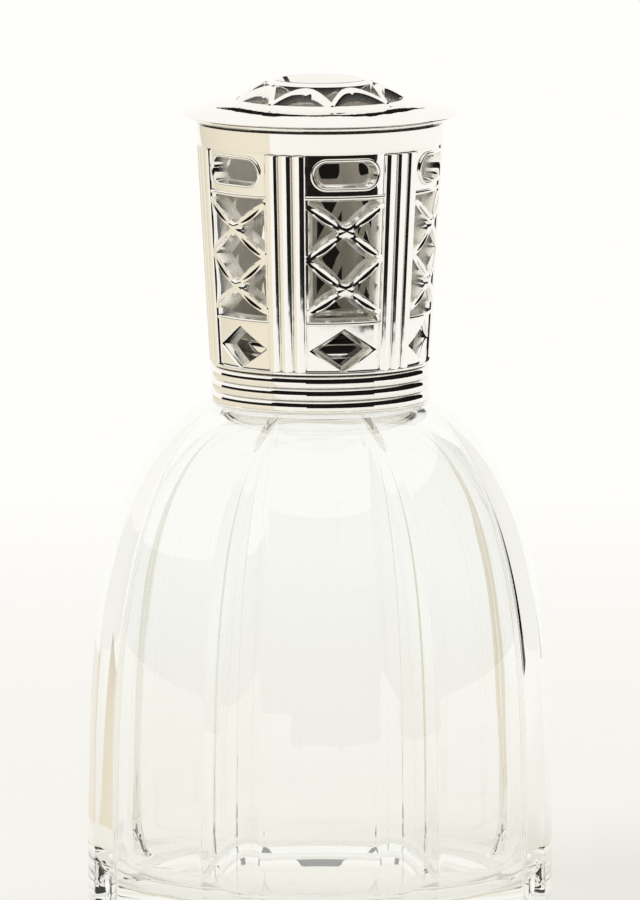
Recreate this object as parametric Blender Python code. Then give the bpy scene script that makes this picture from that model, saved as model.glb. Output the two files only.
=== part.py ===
"""Catalytic fragrance lamp: a fluted glass bottle, its burner, a snuffer and an openwork metal cap.

Sizes are in metres and angles in radians. +Z is up and the origin is the middle of the foot.
The burner, the snuffer and the cap are modelled in their own frames, on empties on the bottle's axis.
"""
import math

import bmesh
import bpy
from mathutils import Vector

# Clearances
TOUCH_GAP = 0.0003
LIFT_CLEARANCE = 0.0003

# Glass bottle
BELL_RADIUS = 0.0403
BELL_APEX_HEIGHT = 0.0940
BELL_SIDE_POWER = 2.8
BELL_TOP_POWER = 3.7
FOOT_ROUND = 0.0040
FOOT_RING_WIDTH = 0.0060
PUNT_RISE = 0.0030
GLASS_SHOULDER = 0.0042
GLASS_BASE = 0.0080
FLOOR_ROUND = 0.0060
NECK_BORE_RADIUS = 0.0096
NECK_WALL = 0.0028
NECK_HEIGHT = 0.0103
FLUTE_COUNT = 8
FLUTE_HALF_ANGLE = math.radians(7.5)
FLUTE_DEPTH = 0.0018
GLASS_BEHIND_FLUTE = 0.0018
FLUTE_START_DROP = 0.0045
FLUTE_RUN_OUT = 0.0160
FLUTE_TIP_SHARE = 0.35

# Neck collar and the compound that bonds it to the glass
BOND_THICKNESS = 0.0008
COLLAR_WALL = 0.0012
COLLAR_LIP = 0.0011
COLLAR_FLANGE_WIDTH = 0.0026
COLLAR_FLANGE_THICKNESS = 0.0014

# Burner
GASKET_THICKNESS = 0.0008
GASKET_WIDTH = 0.0022
HOLDER_WALL = 0.0010
HOLDER_FLANGE_WIDTH = 0.0028
HOLDER_FLANGE_THICKNESS = 0.0010
HOLDER_DEPTH = 0.0080
HOLDER_BASKET_HEIGHT = 0.0026
VENT_COUNT = 8
VENT_WIDTH = 0.0030
VENT_RAIL = 0.0006
STONE_STANDING = 0.0005
STONE_ROUND = 0.0015
STONE_WELL_RADIUS = 0.0026
STONE_WELL_DEPTH = 0.0050
FERRULE_BORE_RADIUS = 0.0038
FERRULE_WALL = 0.0010
FERRULE_LENGTH = 0.0060
FERRULE_RIM_WIDTH = 0.0016
FERRULE_RIM_THICKNESS = 0.0010

# Snuffer, a closed sleeve that covers the burner
SNUFFER_HEIGHT = 0.0290
SNUFFER_WALL = 0.0007
SNUFFER_TOP_THICKNESS = 0.0010
SNUFFER_TOP_ROUND = 0.0012
SNUFFER_FOOT_HEIGHT = 0.0018
SNUFFER_FOOT_WIDTH = 0.0007
SNUFFER_FOOT_SLOPE = 0.0007

# Cap band
BAND_WALL = 0.0011
BEAD_COUNT = 3
BEAD_HEIGHT = 0.0021
BEAD_DEPTH = 0.0005

# Cap wall, from its foot to its top
SILL_HEIGHT = 0.0005
DIAMOND_HEIGHT = 0.0075
LOWER_RAIL = 0.0011
CROSS_FOOT_ROOM = 0.00145
CROSS_COUNT = 2
CROSS_HEIGHT = 0.0093
CROSS_HEAD_ROOM = 0.00095
UPPER_RAIL = 0.00215
SLOT_HEIGHT = 0.0044
SLOT_HEAD = 0.0012
PLAIN_BAND_HEIGHT = 0.00365
WALL_THICKNESS = 0.0030
WALL_TAPER = math.radians(3.3)
WALL_STAND_OUT = 0.0001
PANEL_COUNT = 6
PANEL_HALF_ANGLE = math.radians(19.7)
PANEL_TURN = math.radians(12.85)
REED_COUNT = 3
REED_DEPTH = 0.0006
PANEL_STILE = 0.0004
SLOT_STILE = 0.0011
ARM_END_HALF_WIDTH = 0.0004
ARM_MID_HALF_WIDTH = 0.0008
CORNER_SHARE = 0.16

# Cap lid
BRIM_OVERHANG = 0.00205
BRIM_RISE = 0.0010
BRIM_EDGE = 0.0005
BRIM_ROLL_SHARE = (0.35, 0.35)
BRIM_HOLLOW_SHARE = (0.75, 0.2)
SPIGOT_DEPTH = 0.0025
SPIGOT_WALL = 0.0012
DOME_FOOT_RISE = 0.0030
DOME_RISE = 0.0043
DOME_BULGE = 0.0004
DOME_THICKNESS = 0.0015
DOME_LOWER_RING = 0.0010
DOME_UPPER_RING = 0.0016
TOP_HOLE_RADIUS = 0.00745
ARCH_COUNT = 8
ARCH_TURN = math.radians(30.9)
ARCH_ZONE_WIDTH = 0.0052
ARCH_FOOT_HALF_ANGLE = math.radians(4.0)
ARCH_CROWN_WIDTH = 0.00195
SPANDREL_RIB_HALF_ANGLE = math.radians(5.7)
SPANDREL_TIP_WIDTH = 0.0015
ARCH_SPRING_SHARE = 0.9
SPANDREL_WAIST_SHARE = 0.5

# Smoothness of round pieces, in sides
BELL_STEPS = 10
INNER_BELL_STEPS = 6
RING_SIDES = 36
SMALL_RING_SIDES = 24
LID_SIDES = 56
BEAD_STEPS = 4
PANEL_STEPS = 2
REED_STEPS = 4

# Sizes that follow from the fits, from the neck outwards and upwards
NECK_RADIUS = NECK_BORE_RADIUS + NECK_WALL
BOND_INNER_RADIUS = NECK_RADIUS + TOUCH_GAP
BOND_OUTER_RADIUS = BOND_INNER_RADIUS + BOND_THICKNESS
COLLAR_INNER_RADIUS = BOND_OUTER_RADIUS + TOUCH_GAP
COLLAR_RADIUS = COLLAR_INNER_RADIUS + COLLAR_WALL
COLLAR_FLANGE_RADIUS = COLLAR_RADIUS + COLLAR_FLANGE_WIDTH
BAND_RADIUS = COLLAR_FLANGE_RADIUS + LIFT_CLEARANCE + BAND_WALL
BAND_HEIGHT = BEAD_COUNT * BEAD_HEIGHT
LAND_RADIUS = BAND_RADIUS + TOUCH_GAP
HOLDER_RADIUS = NECK_BORE_RADIUS - LIFT_CLEARANCE
HOLDER_FLANGE_FOOT = TOUCH_GAP + GASKET_THICKNESS + TOUCH_GAP
HOLDER_FLANGE_TOP = HOLDER_FLANGE_FOOT + HOLDER_FLANGE_THICKNESS
SNUFFER_BORE_RADIUS = HOLDER_RADIUS + LIFT_CLEARANCE
SNUFFER_RADIUS = SNUFFER_BORE_RADIUS + SNUFFER_WALL
CROSS_ZONE = CROSS_FOOT_ROOM + CROSS_COUNT * CROSS_HEIGHT + CROSS_HEAD_ROOM
WALL_FOOT_RADIUS = BAND_RADIUS + WALL_STAND_OUT
DIAMOND_FOOT = SILL_HEIGHT
CROSS_ZONE_FOOT = DIAMOND_FOOT + DIAMOND_HEIGHT + LOWER_RAIL
SLOT_FOOT = CROSS_ZONE_FOOT + CROSS_ZONE + UPPER_RAIL
PANEL_TOP = SLOT_FOOT + SLOT_HEIGHT + SLOT_HEAD
WALL_HEIGHT = PANEL_TOP + PLAIN_BAND_HEIGHT
ARCH_HEAD_RADIUS = TOP_HOLE_RADIUS + DOME_UPPER_RING
ARCH_FOOT_RADIUS = ARCH_HEAD_RADIUS + ARCH_ZONE_WIDTH
DOME_RADIUS = ARCH_FOOT_RADIUS + DOME_LOWER_RING


def bell_point(angle, radius, height):
    """A point of the bell's superellipse: angle 0 is at the side, a right angle is at the apex."""
    return (radius * math.cos(angle) ** (2 / BELL_SIDE_POWER),
            height * math.sin(angle) ** (2 / BELL_TOP_POWER))


def bell_angle_at_height(z, height):
    return math.asin((z / height) ** (BELL_TOP_POWER / 2))


def bell_angle_at_radius(r, radius):
    return math.acos((r / radius) ** (BELL_SIDE_POWER / 2))


LAND_Z = bell_point(bell_angle_at_radius(LAND_RADIUS, BELL_RADIUS), BELL_RADIUS, BELL_APEX_HEIGHT)[1]
NECK_TOP_Z = LAND_Z + NECK_HEIGHT
COLLAR_FOOT_Z = LAND_Z + TOUCH_GAP
COLLAR_TOP_Z = NECK_TOP_Z + TOUCH_GAP + COLLAR_LIP
SNUFFER_SEAT_Z = COLLAR_TOP_Z + HOLDER_FLANGE_TOP + TOUCH_GAP
CAP_SEAT_Z = COLLAR_FOOT_Z


def wall_radius(z):
    """Outer radius of the cap's wall at a height above the wall's own foot."""
    return WALL_FOOT_RADIUS + z * math.tan(WALL_TAPER)


def spread(start, end, steps):
    """Evenly spaced values from start to end, both included."""
    return [start + (end - start) * i / steps for i in range(steps + 1)]


def ease(t):
    t = min(max(t, 0.0), 1.0)
    return t * t * (3 - 2 * t)


def bezier(p0, p1, p2, p3, steps):
    points = []
    for t in spread(0.0, 1.0, steps):
        s = 1 - t
        weights = (s ** 3, 3 * s * s * t, 3 * s * t * t, t ** 3)
        points.append(tuple(sum(w * p[k] for w, p in zip(weights, (p0, p1, p2, p3))) for k in (0, 1)))
    return points


def arc(centre, radius, start, end, steps):
    return [(centre[0] + radius * math.cos(a), centre[1] + radius * math.sin(a))
            for a in spread(start, end, steps)]


def polar(r, angle, z):
    """A point at an angle that counts from the front of the lamp towards +X."""
    return Vector((r * math.sin(angle), -r * math.cos(angle), z))


def loft(bm, rings, closed):
    """Skin a run of equal rings. A ring of one point is a pole. A closed run joins its ends."""
    layers = [[bm.verts.new(point) for point in ring] for ring in rings]
    pairs = list(zip(layers, layers[1:]))
    if closed:
        pairs.append((layers[-1], layers[0]))
    for low, high in pairs:
        sides = max(len(low), len(high))
        for i in range(sides):
            j = (i + 1) % sides
            corners = [low[i % len(low)], low[j % len(low)], high[j % len(high)], high[i % len(high)]]
            bm.faces.new(list(dict.fromkeys(corners)))


def add_object(name, bm, material, parent=None):
    bmesh.ops.recalc_face_normals(bm, faces=bm.faces)
    mesh = bpy.data.meshes.new(name)
    bm.to_mesh(mesh)
    bm.free()
    mesh.shade_smooth()
    mesh.set_sharp_from_angle(angle=math.radians(30))
    if material:
        mesh.materials.append(material)
    obj = bpy.data.objects.new(name, mesh)
    bpy.context.collection.objects.link(obj)
    obj.parent = parent
    return obj


def add_turned(name, profile, sides, material, parent=None):
    """Turn an outline of (radius, height) points about Z. Ends on the axis close it with poles."""
    on_axis = profile[0][0] == 0
    rings = []
    for r, z in profile:
        count = 1 if r == 0 else sides
        rings.append([polar(r, math.tau * i / sides, z) for i in range(count)])
    bm = bmesh.new()
    loft(bm, rings, closed=not on_axis)
    return add_object(name, bm, material, parent)


def cut_away(target, cutter_name, prisms):
    """Cut prisms, each a pair of matching outlines, out of a piece."""
    bm = bmesh.new()
    for near, far in prisms:
        near_verts = [bm.verts.new(p) for p in near]
        far_verts = [bm.verts.new(p) for p in far]
        bm.faces.new(near_verts)
        bm.faces.new(far_verts[::-1])
        for i in range(len(near)):
            j = (i + 1) % len(near)
            bm.faces.new((near_verts[j], near_verts[i], far_verts[i], far_verts[j]))
    cutter = add_object(cutter_name, bm, None, target.parent)
    cutter.hide_render = True
    cutter.display_type = 'WIRE'
    cut = target.modifiers.new(cutter_name, 'BOOLEAN')
    cut.operation = 'DIFFERENCE'
    cut.solver = 'EXACT'
    cut.object = cutter


def make_material(name, colour, roughness, metallic, transmission=0.0):
    material = bpy.data.materials.new(name)
    material.use_nodes = True
    shader = material.node_tree.nodes['Principled BSDF']
    shader.inputs['Base Color'].default_value = (*colour, 1.0)
    shader.inputs['Roughness'].default_value = roughness
    shader.inputs['Metallic'].default_value = metallic
    shader.inputs['Transmission Weight'].default_value = transmission
    return material


def add_frame(name, z):
    empty = bpy.data.objects.new(name, None)
    empty.location = (0.0, 0.0, z)
    bpy.context.collection.objects.link(empty)
    return empty


def flute_strength(z):
    """How far a flute is cut in at a height: nothing at the shoulder, full lower down."""
    return ease((LAND_Z - FLUTE_START_DROP - z) / FLUTE_RUN_OUT)


def bottle_ring(r, z, strength):
    """One level of the bottle, with creased hollows where the flutes are cut in."""
    half = FLUTE_HALF_ANGLE * (FLUTE_TIP_SHARE + (1 - FLUTE_TIP_SHARE) * strength)
    pitch = math.tau / FLUTE_COUNT
    ring = []
    for k in range(FLUTE_COUNT):
        centre = (k + 0.5) * pitch
        for t in spread(-1.0, 1.0, 4):
            ring.append(polar(r - FLUTE_DEPTH * strength * (1 - t * t), centre + t * half, z))
        for t in spread(-1.0, 1.0, 4)[1:-1]:
            ring.append(polar(r, centre + pitch / 2 + t * (pitch / 2 - half), z))
    return ring


def add_glass_bottle(material):
    inner_radius = BELL_RADIUS - FLUTE_DEPTH - GLASS_BEHIND_FLUTE
    inner_apex = BELL_APEX_HEIGHT - GLASS_SHOULDER
    foot_radius = BELL_RADIUS - FOOT_ROUND
    low = bell_angle_at_height(FOOT_ROUND, BELL_APEX_HEIGHT)
    high = bell_angle_at_radius(LAND_RADIUS, BELL_RADIUS)
    side_shift = bell_point(low, BELL_RADIUS, BELL_APEX_HEIGHT)[0] - BELL_RADIUS
    floor_corner_z = GLASS_BASE + FLOOR_ROUND
    inner_low = bell_angle_at_height(floor_corner_z, inner_apex)
    inner_high = bell_angle_at_radius(NECK_BORE_RADIUS, inner_radius)
    inner_shift = bell_point(inner_low, inner_radius, inner_apex)[0] - inner_radius
    foot_arc = arc((foot_radius + side_shift, FOOT_ROUND), FOOT_ROUND, -math.pi / 2, 0.0, 2)
    bell = [bell_point(a, BELL_RADIUS, BELL_APEX_HEIGHT) for a in spread(low, high, BELL_STEPS)]
    inside = [bell_point(a, inner_radius, inner_apex)
              for a in spread(inner_high, inner_low, INNER_BELL_STEPS)]
    floor_centre = (inner_radius + inner_shift - FLOOR_ROUND, floor_corner_z)
    floor_arc = arc(floor_centre, FLOOR_ROUND, 0.0, -math.pi / 2, 2)
    rings = [[Vector((0.0, 0.0, PUNT_RISE))]]
    rings.append(bottle_ring(foot_radius - FOOT_RING_WIDTH, 0.0, 0.0))
    for r, z in foot_arc + bell[1:]:
        rings.append(bottle_ring(r, z, flute_strength(z)))
    for r, z in [(NECK_RADIUS, LAND_Z), (NECK_RADIUS, NECK_TOP_Z), (NECK_BORE_RADIUS, NECK_TOP_Z)]:
        rings.append(bottle_ring(r, z, 0.0))
    for r, z in inside + floor_arc[1:]:
        rings.append(bottle_ring(r, z, 0.0))
    rings.append([Vector((0.0, 0.0, GLASS_BASE))])
    bm = bmesh.new()
    loft(bm, rings, closed=False)
    return add_object('glass_bottle', bm, material)


def add_neck_pieces(bond_material, metal):
    bond_top = NECK_TOP_Z
    bond_foot = COLLAR_FOOT_Z
    add_turned('collar_bond', [
        (BOND_OUTER_RADIUS, bond_top), (BOND_OUTER_RADIUS, bond_foot),
        (BOND_INNER_RADIUS, bond_foot), (BOND_INNER_RADIUS, bond_top),
    ], SMALL_RING_SIDES, bond_material)
    flange_top = COLLAR_FOOT_Z + COLLAR_FLANGE_THICKNESS
    lip_foot = NECK_TOP_Z + TOUCH_GAP
    lip_round = COLLAR_LIP / 2
    shoulder = arc((COLLAR_RADIUS - lip_round, COLLAR_TOP_Z - lip_round), lip_round, math.pi / 2, 0.0, 3)
    add_turned('neck_collar', [
        (NECK_BORE_RADIUS, COLLAR_TOP_Z), *shoulder,
        (COLLAR_RADIUS, flange_top), (COLLAR_FLANGE_RADIUS, flange_top),
        (COLLAR_FLANGE_RADIUS, COLLAR_FOOT_Z), (COLLAR_INNER_RADIUS, COLLAR_FOOT_Z),
        (COLLAR_INNER_RADIUS, lip_foot), (NECK_BORE_RADIUS, lip_foot),
    ], RING_SIDES, metal)


def add_burner(parent, metal, rubber, stone):
    """The burner stands on the collar's top, which is height 0 of its frame."""
    gasket_foot = TOUCH_GAP
    gasket_top = gasket_foot + GASKET_THICKNESS
    gasket_inner = HOLDER_RADIUS + TOUCH_GAP
    add_turned('burner_gasket', [
        (gasket_inner + GASKET_WIDTH, gasket_top), (gasket_inner + GASKET_WIDTH, gasket_foot),
        (gasket_inner, gasket_foot), (gasket_inner, gasket_top),
    ], SMALL_RING_SIDES, rubber, parent)

    flange_foot = HOLDER_FLANGE_FOOT
    flange_top = HOLDER_FLANGE_TOP
    flange_radius = HOLDER_RADIUS + HOLDER_FLANGE_WIDTH
    basket_top = flange_top + HOLDER_BASKET_HEIGHT
    cup_radius = HOLDER_RADIUS - HOLDER_WALL
    floor_top = HOLDER_WALL - HOLDER_DEPTH
    ferrule_radius = FERRULE_BORE_RADIUS + FERRULE_WALL
    floor_hole = ferrule_radius + TOUCH_GAP
    holder = add_turned('burner_holder', [
        (HOLDER_RADIUS, basket_top), (HOLDER_RADIUS, flange_top), (flange_radius, flange_top),
        (flange_radius, flange_foot), (HOLDER_RADIUS, flange_foot), (HOLDER_RADIUS, -HOLDER_DEPTH),
        (floor_hole, -HOLDER_DEPTH), (floor_hole, floor_top),
        (cup_radius, floor_top), (cup_radius, basket_top),
    ], RING_SIDES, metal, parent)
    vent_foot = flange_top + VENT_RAIL
    vent_head = basket_top - VENT_RAIL
    half = VENT_WIDTH / 2
    outline = [(-half, vent_foot), (half, vent_foot), (half, vent_head), (-half, vent_head)]
    near, far = cup_radius - HOLDER_WALL, HOLDER_RADIUS + HOLDER_WALL
    vents = [radial_prism(outline, math.tau * k / VENT_COUNT, near, far) for k in range(VENT_COUNT)]
    cut_away(holder, 'vent_cutter', vents)

    rim_foot = floor_top + TOUCH_GAP
    rim_top = rim_foot + FERRULE_RIM_THICKNESS
    rim_radius = floor_hole + FERRULE_RIM_WIDTH
    ferrule_foot = -HOLDER_DEPTH - FERRULE_LENGTH
    add_turned('wick_ferrule', [
        (rim_radius, rim_top), (rim_radius, rim_foot), (ferrule_radius, rim_foot),
        (ferrule_radius, ferrule_foot), (FERRULE_BORE_RADIUS, ferrule_foot), (FERRULE_BORE_RADIUS, rim_top),
    ], SMALL_RING_SIDES, metal, parent)

    stone_radius = cup_radius - TOUCH_GAP
    stone_foot = rim_top + TOUCH_GAP
    stone_top = basket_top + STONE_STANDING
    crown = arc((stone_radius - STONE_ROUND, stone_top - STONE_ROUND), STONE_ROUND, math.pi / 2, 0.0, 3)
    add_turned('burner_stone', [
        (0, stone_top - STONE_WELL_DEPTH), (STONE_WELL_RADIUS, stone_top - STONE_WELL_DEPTH),
        (STONE_WELL_RADIUS, stone_top), *crown, (stone_radius, stone_foot), (0, stone_foot),
    ], SMALL_RING_SIDES, stone, parent)


def add_snuffer(parent, metal):
    """A sleeve with a closed top that stands on the burner's flange, which is height 0 of its frame."""
    crown = arc((SNUFFER_RADIUS - SNUFFER_TOP_ROUND, SNUFFER_HEIGHT - SNUFFER_TOP_ROUND),
                SNUFFER_TOP_ROUND, math.pi / 2, 0.0, 3)
    foot_radius = SNUFFER_RADIUS + SNUFFER_FOOT_WIDTH
    inner_top = SNUFFER_HEIGHT - SNUFFER_TOP_THICKNESS
    add_turned('snuffer_cap', [
        (0, SNUFFER_HEIGHT), *crown, (SNUFFER_RADIUS, SNUFFER_FOOT_HEIGHT + SNUFFER_FOOT_SLOPE),
        (foot_radius, SNUFFER_FOOT_HEIGHT), (foot_radius, 0.0), (SNUFFER_BORE_RADIUS, 0.0),
        (SNUFFER_BORE_RADIUS, inner_top), (0, inner_top),
    ], RING_SIDES, metal, parent)


def add_cap_band(parent, metal):
    """A ring of beads. Its inner step rests on the collar's flange."""
    beads = []
    for k in range(BEAD_COUNT):
        top = BAND_HEIGHT - k * BEAD_HEIGHT
        for t in spread(0.0, math.pi, BEAD_STEPS)[:-1]:
            depth = BEAD_DEPTH * (1 - math.sin(t))
            beads.append((BAND_RADIUS - depth, top - BEAD_HEIGHT * t / math.pi))
    skirt_radius = COLLAR_FLANGE_RADIUS + LIFT_CLEARANCE
    step = COLLAR_FLANGE_THICKNESS + TOUCH_GAP
    bore = COLLAR_RADIUS + LIFT_CLEARANCE
    add_turned('cap_band', [
        *beads, (BAND_RADIUS - BEAD_DEPTH, 0.0), (skirt_radius, 0.0), (skirt_radius, step), (bore, step),
        (bore, BAND_HEIGHT),
    ], RING_SIDES, metal, parent)


def wall_columns():
    """Angle and depth of every vertical line of the wall, panel by panel."""
    pitch = math.tau / PANEL_COUNT
    reed = (pitch - 2 * PANEL_HALF_ANGLE) / REED_COUNT
    columns = []
    for k in range(PANEL_COUNT):
        centre = PANEL_TURN + k * pitch
        left, right = centre - PANEL_HALF_ANGLE, centre + PANEL_HALF_ANGLE
        columns += [(a, 1.0) for a in spread(left, right, PANEL_STEPS)]
        for i in range(REED_COUNT):
            start = right + i * reed
            columns += [(start + reed * t, (2 * t - 1) ** 2) for t in spread(0.0, 1.0, REED_STEPS)[1:]]
        columns.pop()
    return columns


def radial_prism(outline, turn, inner, outer):
    """Stand an outline of (across, up) points upright and run it along a radius."""
    across = Vector((math.cos(turn), math.sin(turn), 0.0))
    out = polar(1.0, turn, 0.0)
    up = Vector((0.0, 0.0, 1.0))
    return [[across * u + up * z + out * r for u, z in outline] for r in (outer, inner)]


def lattice_opening(corners, is_arm):
    """Inset an opening from its corners. Sides that are arms swell like a leaf towards their middle."""
    outline = []
    middle = (sum(c[0] for c in corners) / len(corners), sum(c[1] for c in corners) / len(corners))
    for k, start in enumerate(corners):
        end = corners[(k + 1) % len(corners)]
        along = Vector((end[0] - start[0], end[1] - start[1]))
        inward = Vector((-along.y, along.x)).normalized()
        if inward.dot(Vector(middle) - Vector(start)) < 0:
            inward.negate()
        for t in spread(CORNER_SHARE, 1 - CORNER_SHARE, 2 if is_arm[k] else 1):
            swell = ARM_END_HALF_WIDTH + (ARM_MID_HALF_WIDTH - ARM_END_HALF_WIDTH) * math.sin(math.pi * t)
            point = Vector(start) + along * t + inward * (swell if is_arm[k] else 0.0)
            outline.append((point.x, point.y))
    return outline


def panel_openings():
    """Outlines of one panel's openings: a diamond, two stacked crosses and a slot."""
    def half_width(z, stile):
        return (wall_radius(z) - REED_DEPTH) * math.sin(PANEL_HALF_ANGLE) - stile

    openings = []
    mid = DIAMOND_FOOT + DIAMOND_HEIGHT / 2
    openings.append([(0.0, DIAMOND_FOOT), (half_width(mid, PANEL_STILE), mid),
                     (0.0, DIAMOND_FOOT + DIAMOND_HEIGHT), (-half_width(mid, PANEL_STILE), mid)])

    def edge(z, side):
        return (side * half_width(z, PANEL_STILE), z)

    low = CROSS_ZONE_FOOT
    high = CROSS_ZONE_FOOT + CROSS_ZONE
    nodes = [low + CROSS_FOOT_ROOM + k * CROSS_HEIGHT for k in range(CROSS_COUNT + 1)]
    centres = [(0.0, (a + b) / 2) for a, b in zip(nodes, nodes[1:])]
    openings.append(lattice_opening(
        [edge(low, -1), edge(low, 1), edge(nodes[0], 1), centres[0], edge(nodes[0], -1)],
        (False, False, True, True, False)))
    for k, centre in enumerate(centres):
        for side in (-1, 1):
            openings.append(lattice_opening([edge(nodes[k], side), edge(nodes[k + 1], side), centre],
                                            (False, True, True)))
    for k in range(1, CROSS_COUNT):
        openings.append(lattice_opening([centres[k - 1], edge(nodes[k], 1), centres[k], edge(nodes[k], -1)],
                                        (True,) * 4))
    openings.append(lattice_opening(
        [edge(high, 1), edge(high, -1), edge(nodes[-1], -1), centres[-1], edge(nodes[-1], 1)],
        (False, False, True, True, False)))

    slot_mid = SLOT_FOOT + SLOT_HEIGHT / 2
    end = SLOT_HEIGHT / 2
    run = half_width(slot_mid, SLOT_STILE) - end
    openings.append(arc((run, slot_mid), end, -math.pi / 2, math.pi / 2, 4)
                    + arc((-run, slot_mid), end, math.pi / 2, 3 * math.pi / 2, 4))
    return openings


def add_cap_wall(parent, metal):
    columns = wall_columns()
    foot = BAND_HEIGHT + TOUCH_GAP
    levels = [(0.0, REED_DEPTH, 0.0), (PANEL_TOP, REED_DEPTH, 0.0), (WALL_HEIGHT, 0.0, 0.0),
              (WALL_HEIGHT, 0.0, WALL_THICKNESS), (0.0, 0.0, WALL_THICKNESS)]
    rings = []
    for z, recess, inset in levels:
        r = wall_radius(z) - inset
        rings.append([polar(r - recess * depth, angle, foot + z) for angle, depth in columns])
    bm = bmesh.new()
    loft(bm, rings, closed=True)
    bmesh.ops.remove_doubles(bm, verts=bm.verts, dist=1e-7)
    wall = add_object('cap_wall', bm, metal, parent)
    prisms = []
    inner = wall_radius(0.0) * math.cos(PANEL_HALF_ANGLE) - 2 * WALL_THICKNESS
    outer = wall_radius(WALL_HEIGHT) + WALL_THICKNESS
    for k in range(PANEL_COUNT):
        for outline in panel_openings():
            raised = [(u, foot + z) for u, z in outline]
            prisms.append(radial_prism(raised, PANEL_TURN + k * math.tau / PANEL_COUNT, inner, outer))
    cut_away(wall, 'opening_cutter', prisms)


def dome_openings():
    """Outlines on the dome, as (radius, angle) points: arches, and spandrels between their crowns."""
    pitch = math.tau / ARCH_COUNT
    arch_half = pitch / 2 - ARCH_FOOT_HALF_ANGLE
    arch_height = ARCH_ZONE_WIDTH - ARCH_CROWN_WIDTH
    spandrel_half = pitch / 2 - SPANDREL_RIB_HALF_ANGLE
    spandrel_height = ARCH_ZONE_WIDTH - SPANDREL_TIP_WIDTH
    outlines = []
    for k in range(ARCH_COUNT):
        turn = ARCH_TURN + k * pitch
        crown = [(ARCH_FOOT_RADIUS - arch_height * math.cos(t * math.pi / 2), turn + arch_half * t)
                 for t in spread(-ARCH_SPRING_SHARE, ARCH_SPRING_SHARE, 4)]
        outlines.append(crown + [(ARCH_FOOT_RADIUS, turn + arch_half * t)
                                 for t in spread(ARCH_SPRING_SHARE, -ARCH_SPRING_SHARE, 2)])
        between = turn + pitch / 2
        head = [(ARCH_HEAD_RADIUS, between + spandrel_half * t) for t in (-1.0, 0.0, 1.0)]
        flank = ARCH_HEAD_RADIUS + spandrel_height / 2
        waist = spandrel_half * SPANDREL_WAIST_SHARE
        outlines.append(head + [(flank, between + waist), (ARCH_HEAD_RADIUS + spandrel_height, between),
                                (flank, between - waist)])
    return outlines


def add_cap_lid(parent, metal):
    """The lid stands on the wall's top, with a spigot inside it."""
    seat = BAND_HEIGHT + TOUCH_GAP + WALL_HEIGHT + TOUCH_GAP
    wall_top_radius = wall_radius(WALL_HEIGHT)
    spigot_radius = wall_radius(WALL_HEIGHT - SPIGOT_DEPTH) - WALL_THICKNESS - TOUCH_GAP
    spigot_inner = spigot_radius - SPIGOT_WALL
    brim_radius = wall_top_radius + BRIM_OVERHANG
    brim_z = seat + BRIM_RISE
    dome_foot = seat + DOME_FOOT_RISE
    dome_top = dome_foot + DOME_RISE
    edge_round = arc((brim_radius - BRIM_EDGE / 2, brim_z + BRIM_EDGE / 2), BRIM_EDGE / 2,
                     -math.pi / 2, math.pi / 2, 2)
    brim_top = brim_z + BRIM_EDGE
    reach = brim_radius - BRIM_EDGE - DOME_RADIUS
    rise = dome_foot - brim_top
    roll = (brim_radius - reach * BRIM_ROLL_SHARE[0], brim_top + rise * BRIM_ROLL_SHARE[1])
    hollow = (brim_radius - reach * BRIM_HOLLOW_SHARE[0], brim_top + rise * BRIM_HOLLOW_SHARE[1])
    flare = bezier(edge_round[-1], roll, hollow, (DOME_RADIUS, dome_foot), 5)

    def dome(offset, steps):
        points = []
        for t in spread(0.0, 1.0, steps):
            r = DOME_RADIUS + (TOP_HOLE_RADIUS - DOME_RADIUS) * t
            points.append((r, dome_foot + DOME_RISE * t + 4 * DOME_BULGE * t * (1 - t) - offset))
        return points

    inside = dome(DOME_THICKNESS, 2)[::-1]
    profile = [
        (spigot_inner, seat), (spigot_inner, seat - SPIGOT_DEPTH), (spigot_radius, seat - SPIGOT_DEPTH),
        (spigot_radius, seat), (wall_top_radius, seat), *edge_round, *flare[1:], *dome(0.0, 3)[1:], *inside,
    ]
    lid = add_turned('cap_lid', profile, LID_SIDES, metal, parent)
    low = seat - SPIGOT_DEPTH
    high = dome_top + SPIGOT_DEPTH
    prisms = [[[polar(r, a, z) for r, a in outline] for z in (high, low)] for outline in dome_openings()]
    cut_away(lid, 'dome_cutter', prisms)


def main():
    for obj in list(bpy.data.objects):
        bpy.data.objects.remove(obj, do_unlink=True)
    glass = make_material('clear_glass', (0.97, 0.98, 0.96), 0.02, 0.0, transmission=1.0)
    silver = make_material('silver_plate', (0.93, 0.91, 0.87), 0.08, 1.0)
    steel = make_material('burner_metal', (0.62, 0.61, 0.60), 0.30, 1.0)
    bond = make_material('bonding_compound', (0.80, 0.79, 0.75), 0.80, 0.0)
    rubber = make_material('gasket_rubber', (0.06, 0.06, 0.06), 0.70, 0.0)
    stone = make_material('catalytic_stone', (0.45, 0.44, 0.42), 0.90, 0.0)
    add_glass_bottle(glass)
    add_neck_pieces(bond, silver)
    add_burner(add_frame('burner_frame', COLLAR_TOP_Z), steel, rubber, stone)
    add_snuffer(add_frame('snuffer_frame', SNUFFER_SEAT_Z), silver)
    cap = add_frame('cap_frame', CAP_SEAT_Z)
    add_cap_band(cap, silver)
    add_cap_wall(cap, silver)
    add_cap_lid(cap, silver)


main()
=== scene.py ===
# %% [markdown]
# # A catalytic fragrance lamp, dressed
# The lamp has a clear fluted bottle, a burner that drops into its neck, a plain snuffer over the
# burner and a silver-plated cap whose wall and lid are openwork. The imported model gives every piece's
# place and size. This lesson keeps those and makes the surfaces: thick pressed glass, bright plate and
# a porous stone.

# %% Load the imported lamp
import math

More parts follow.
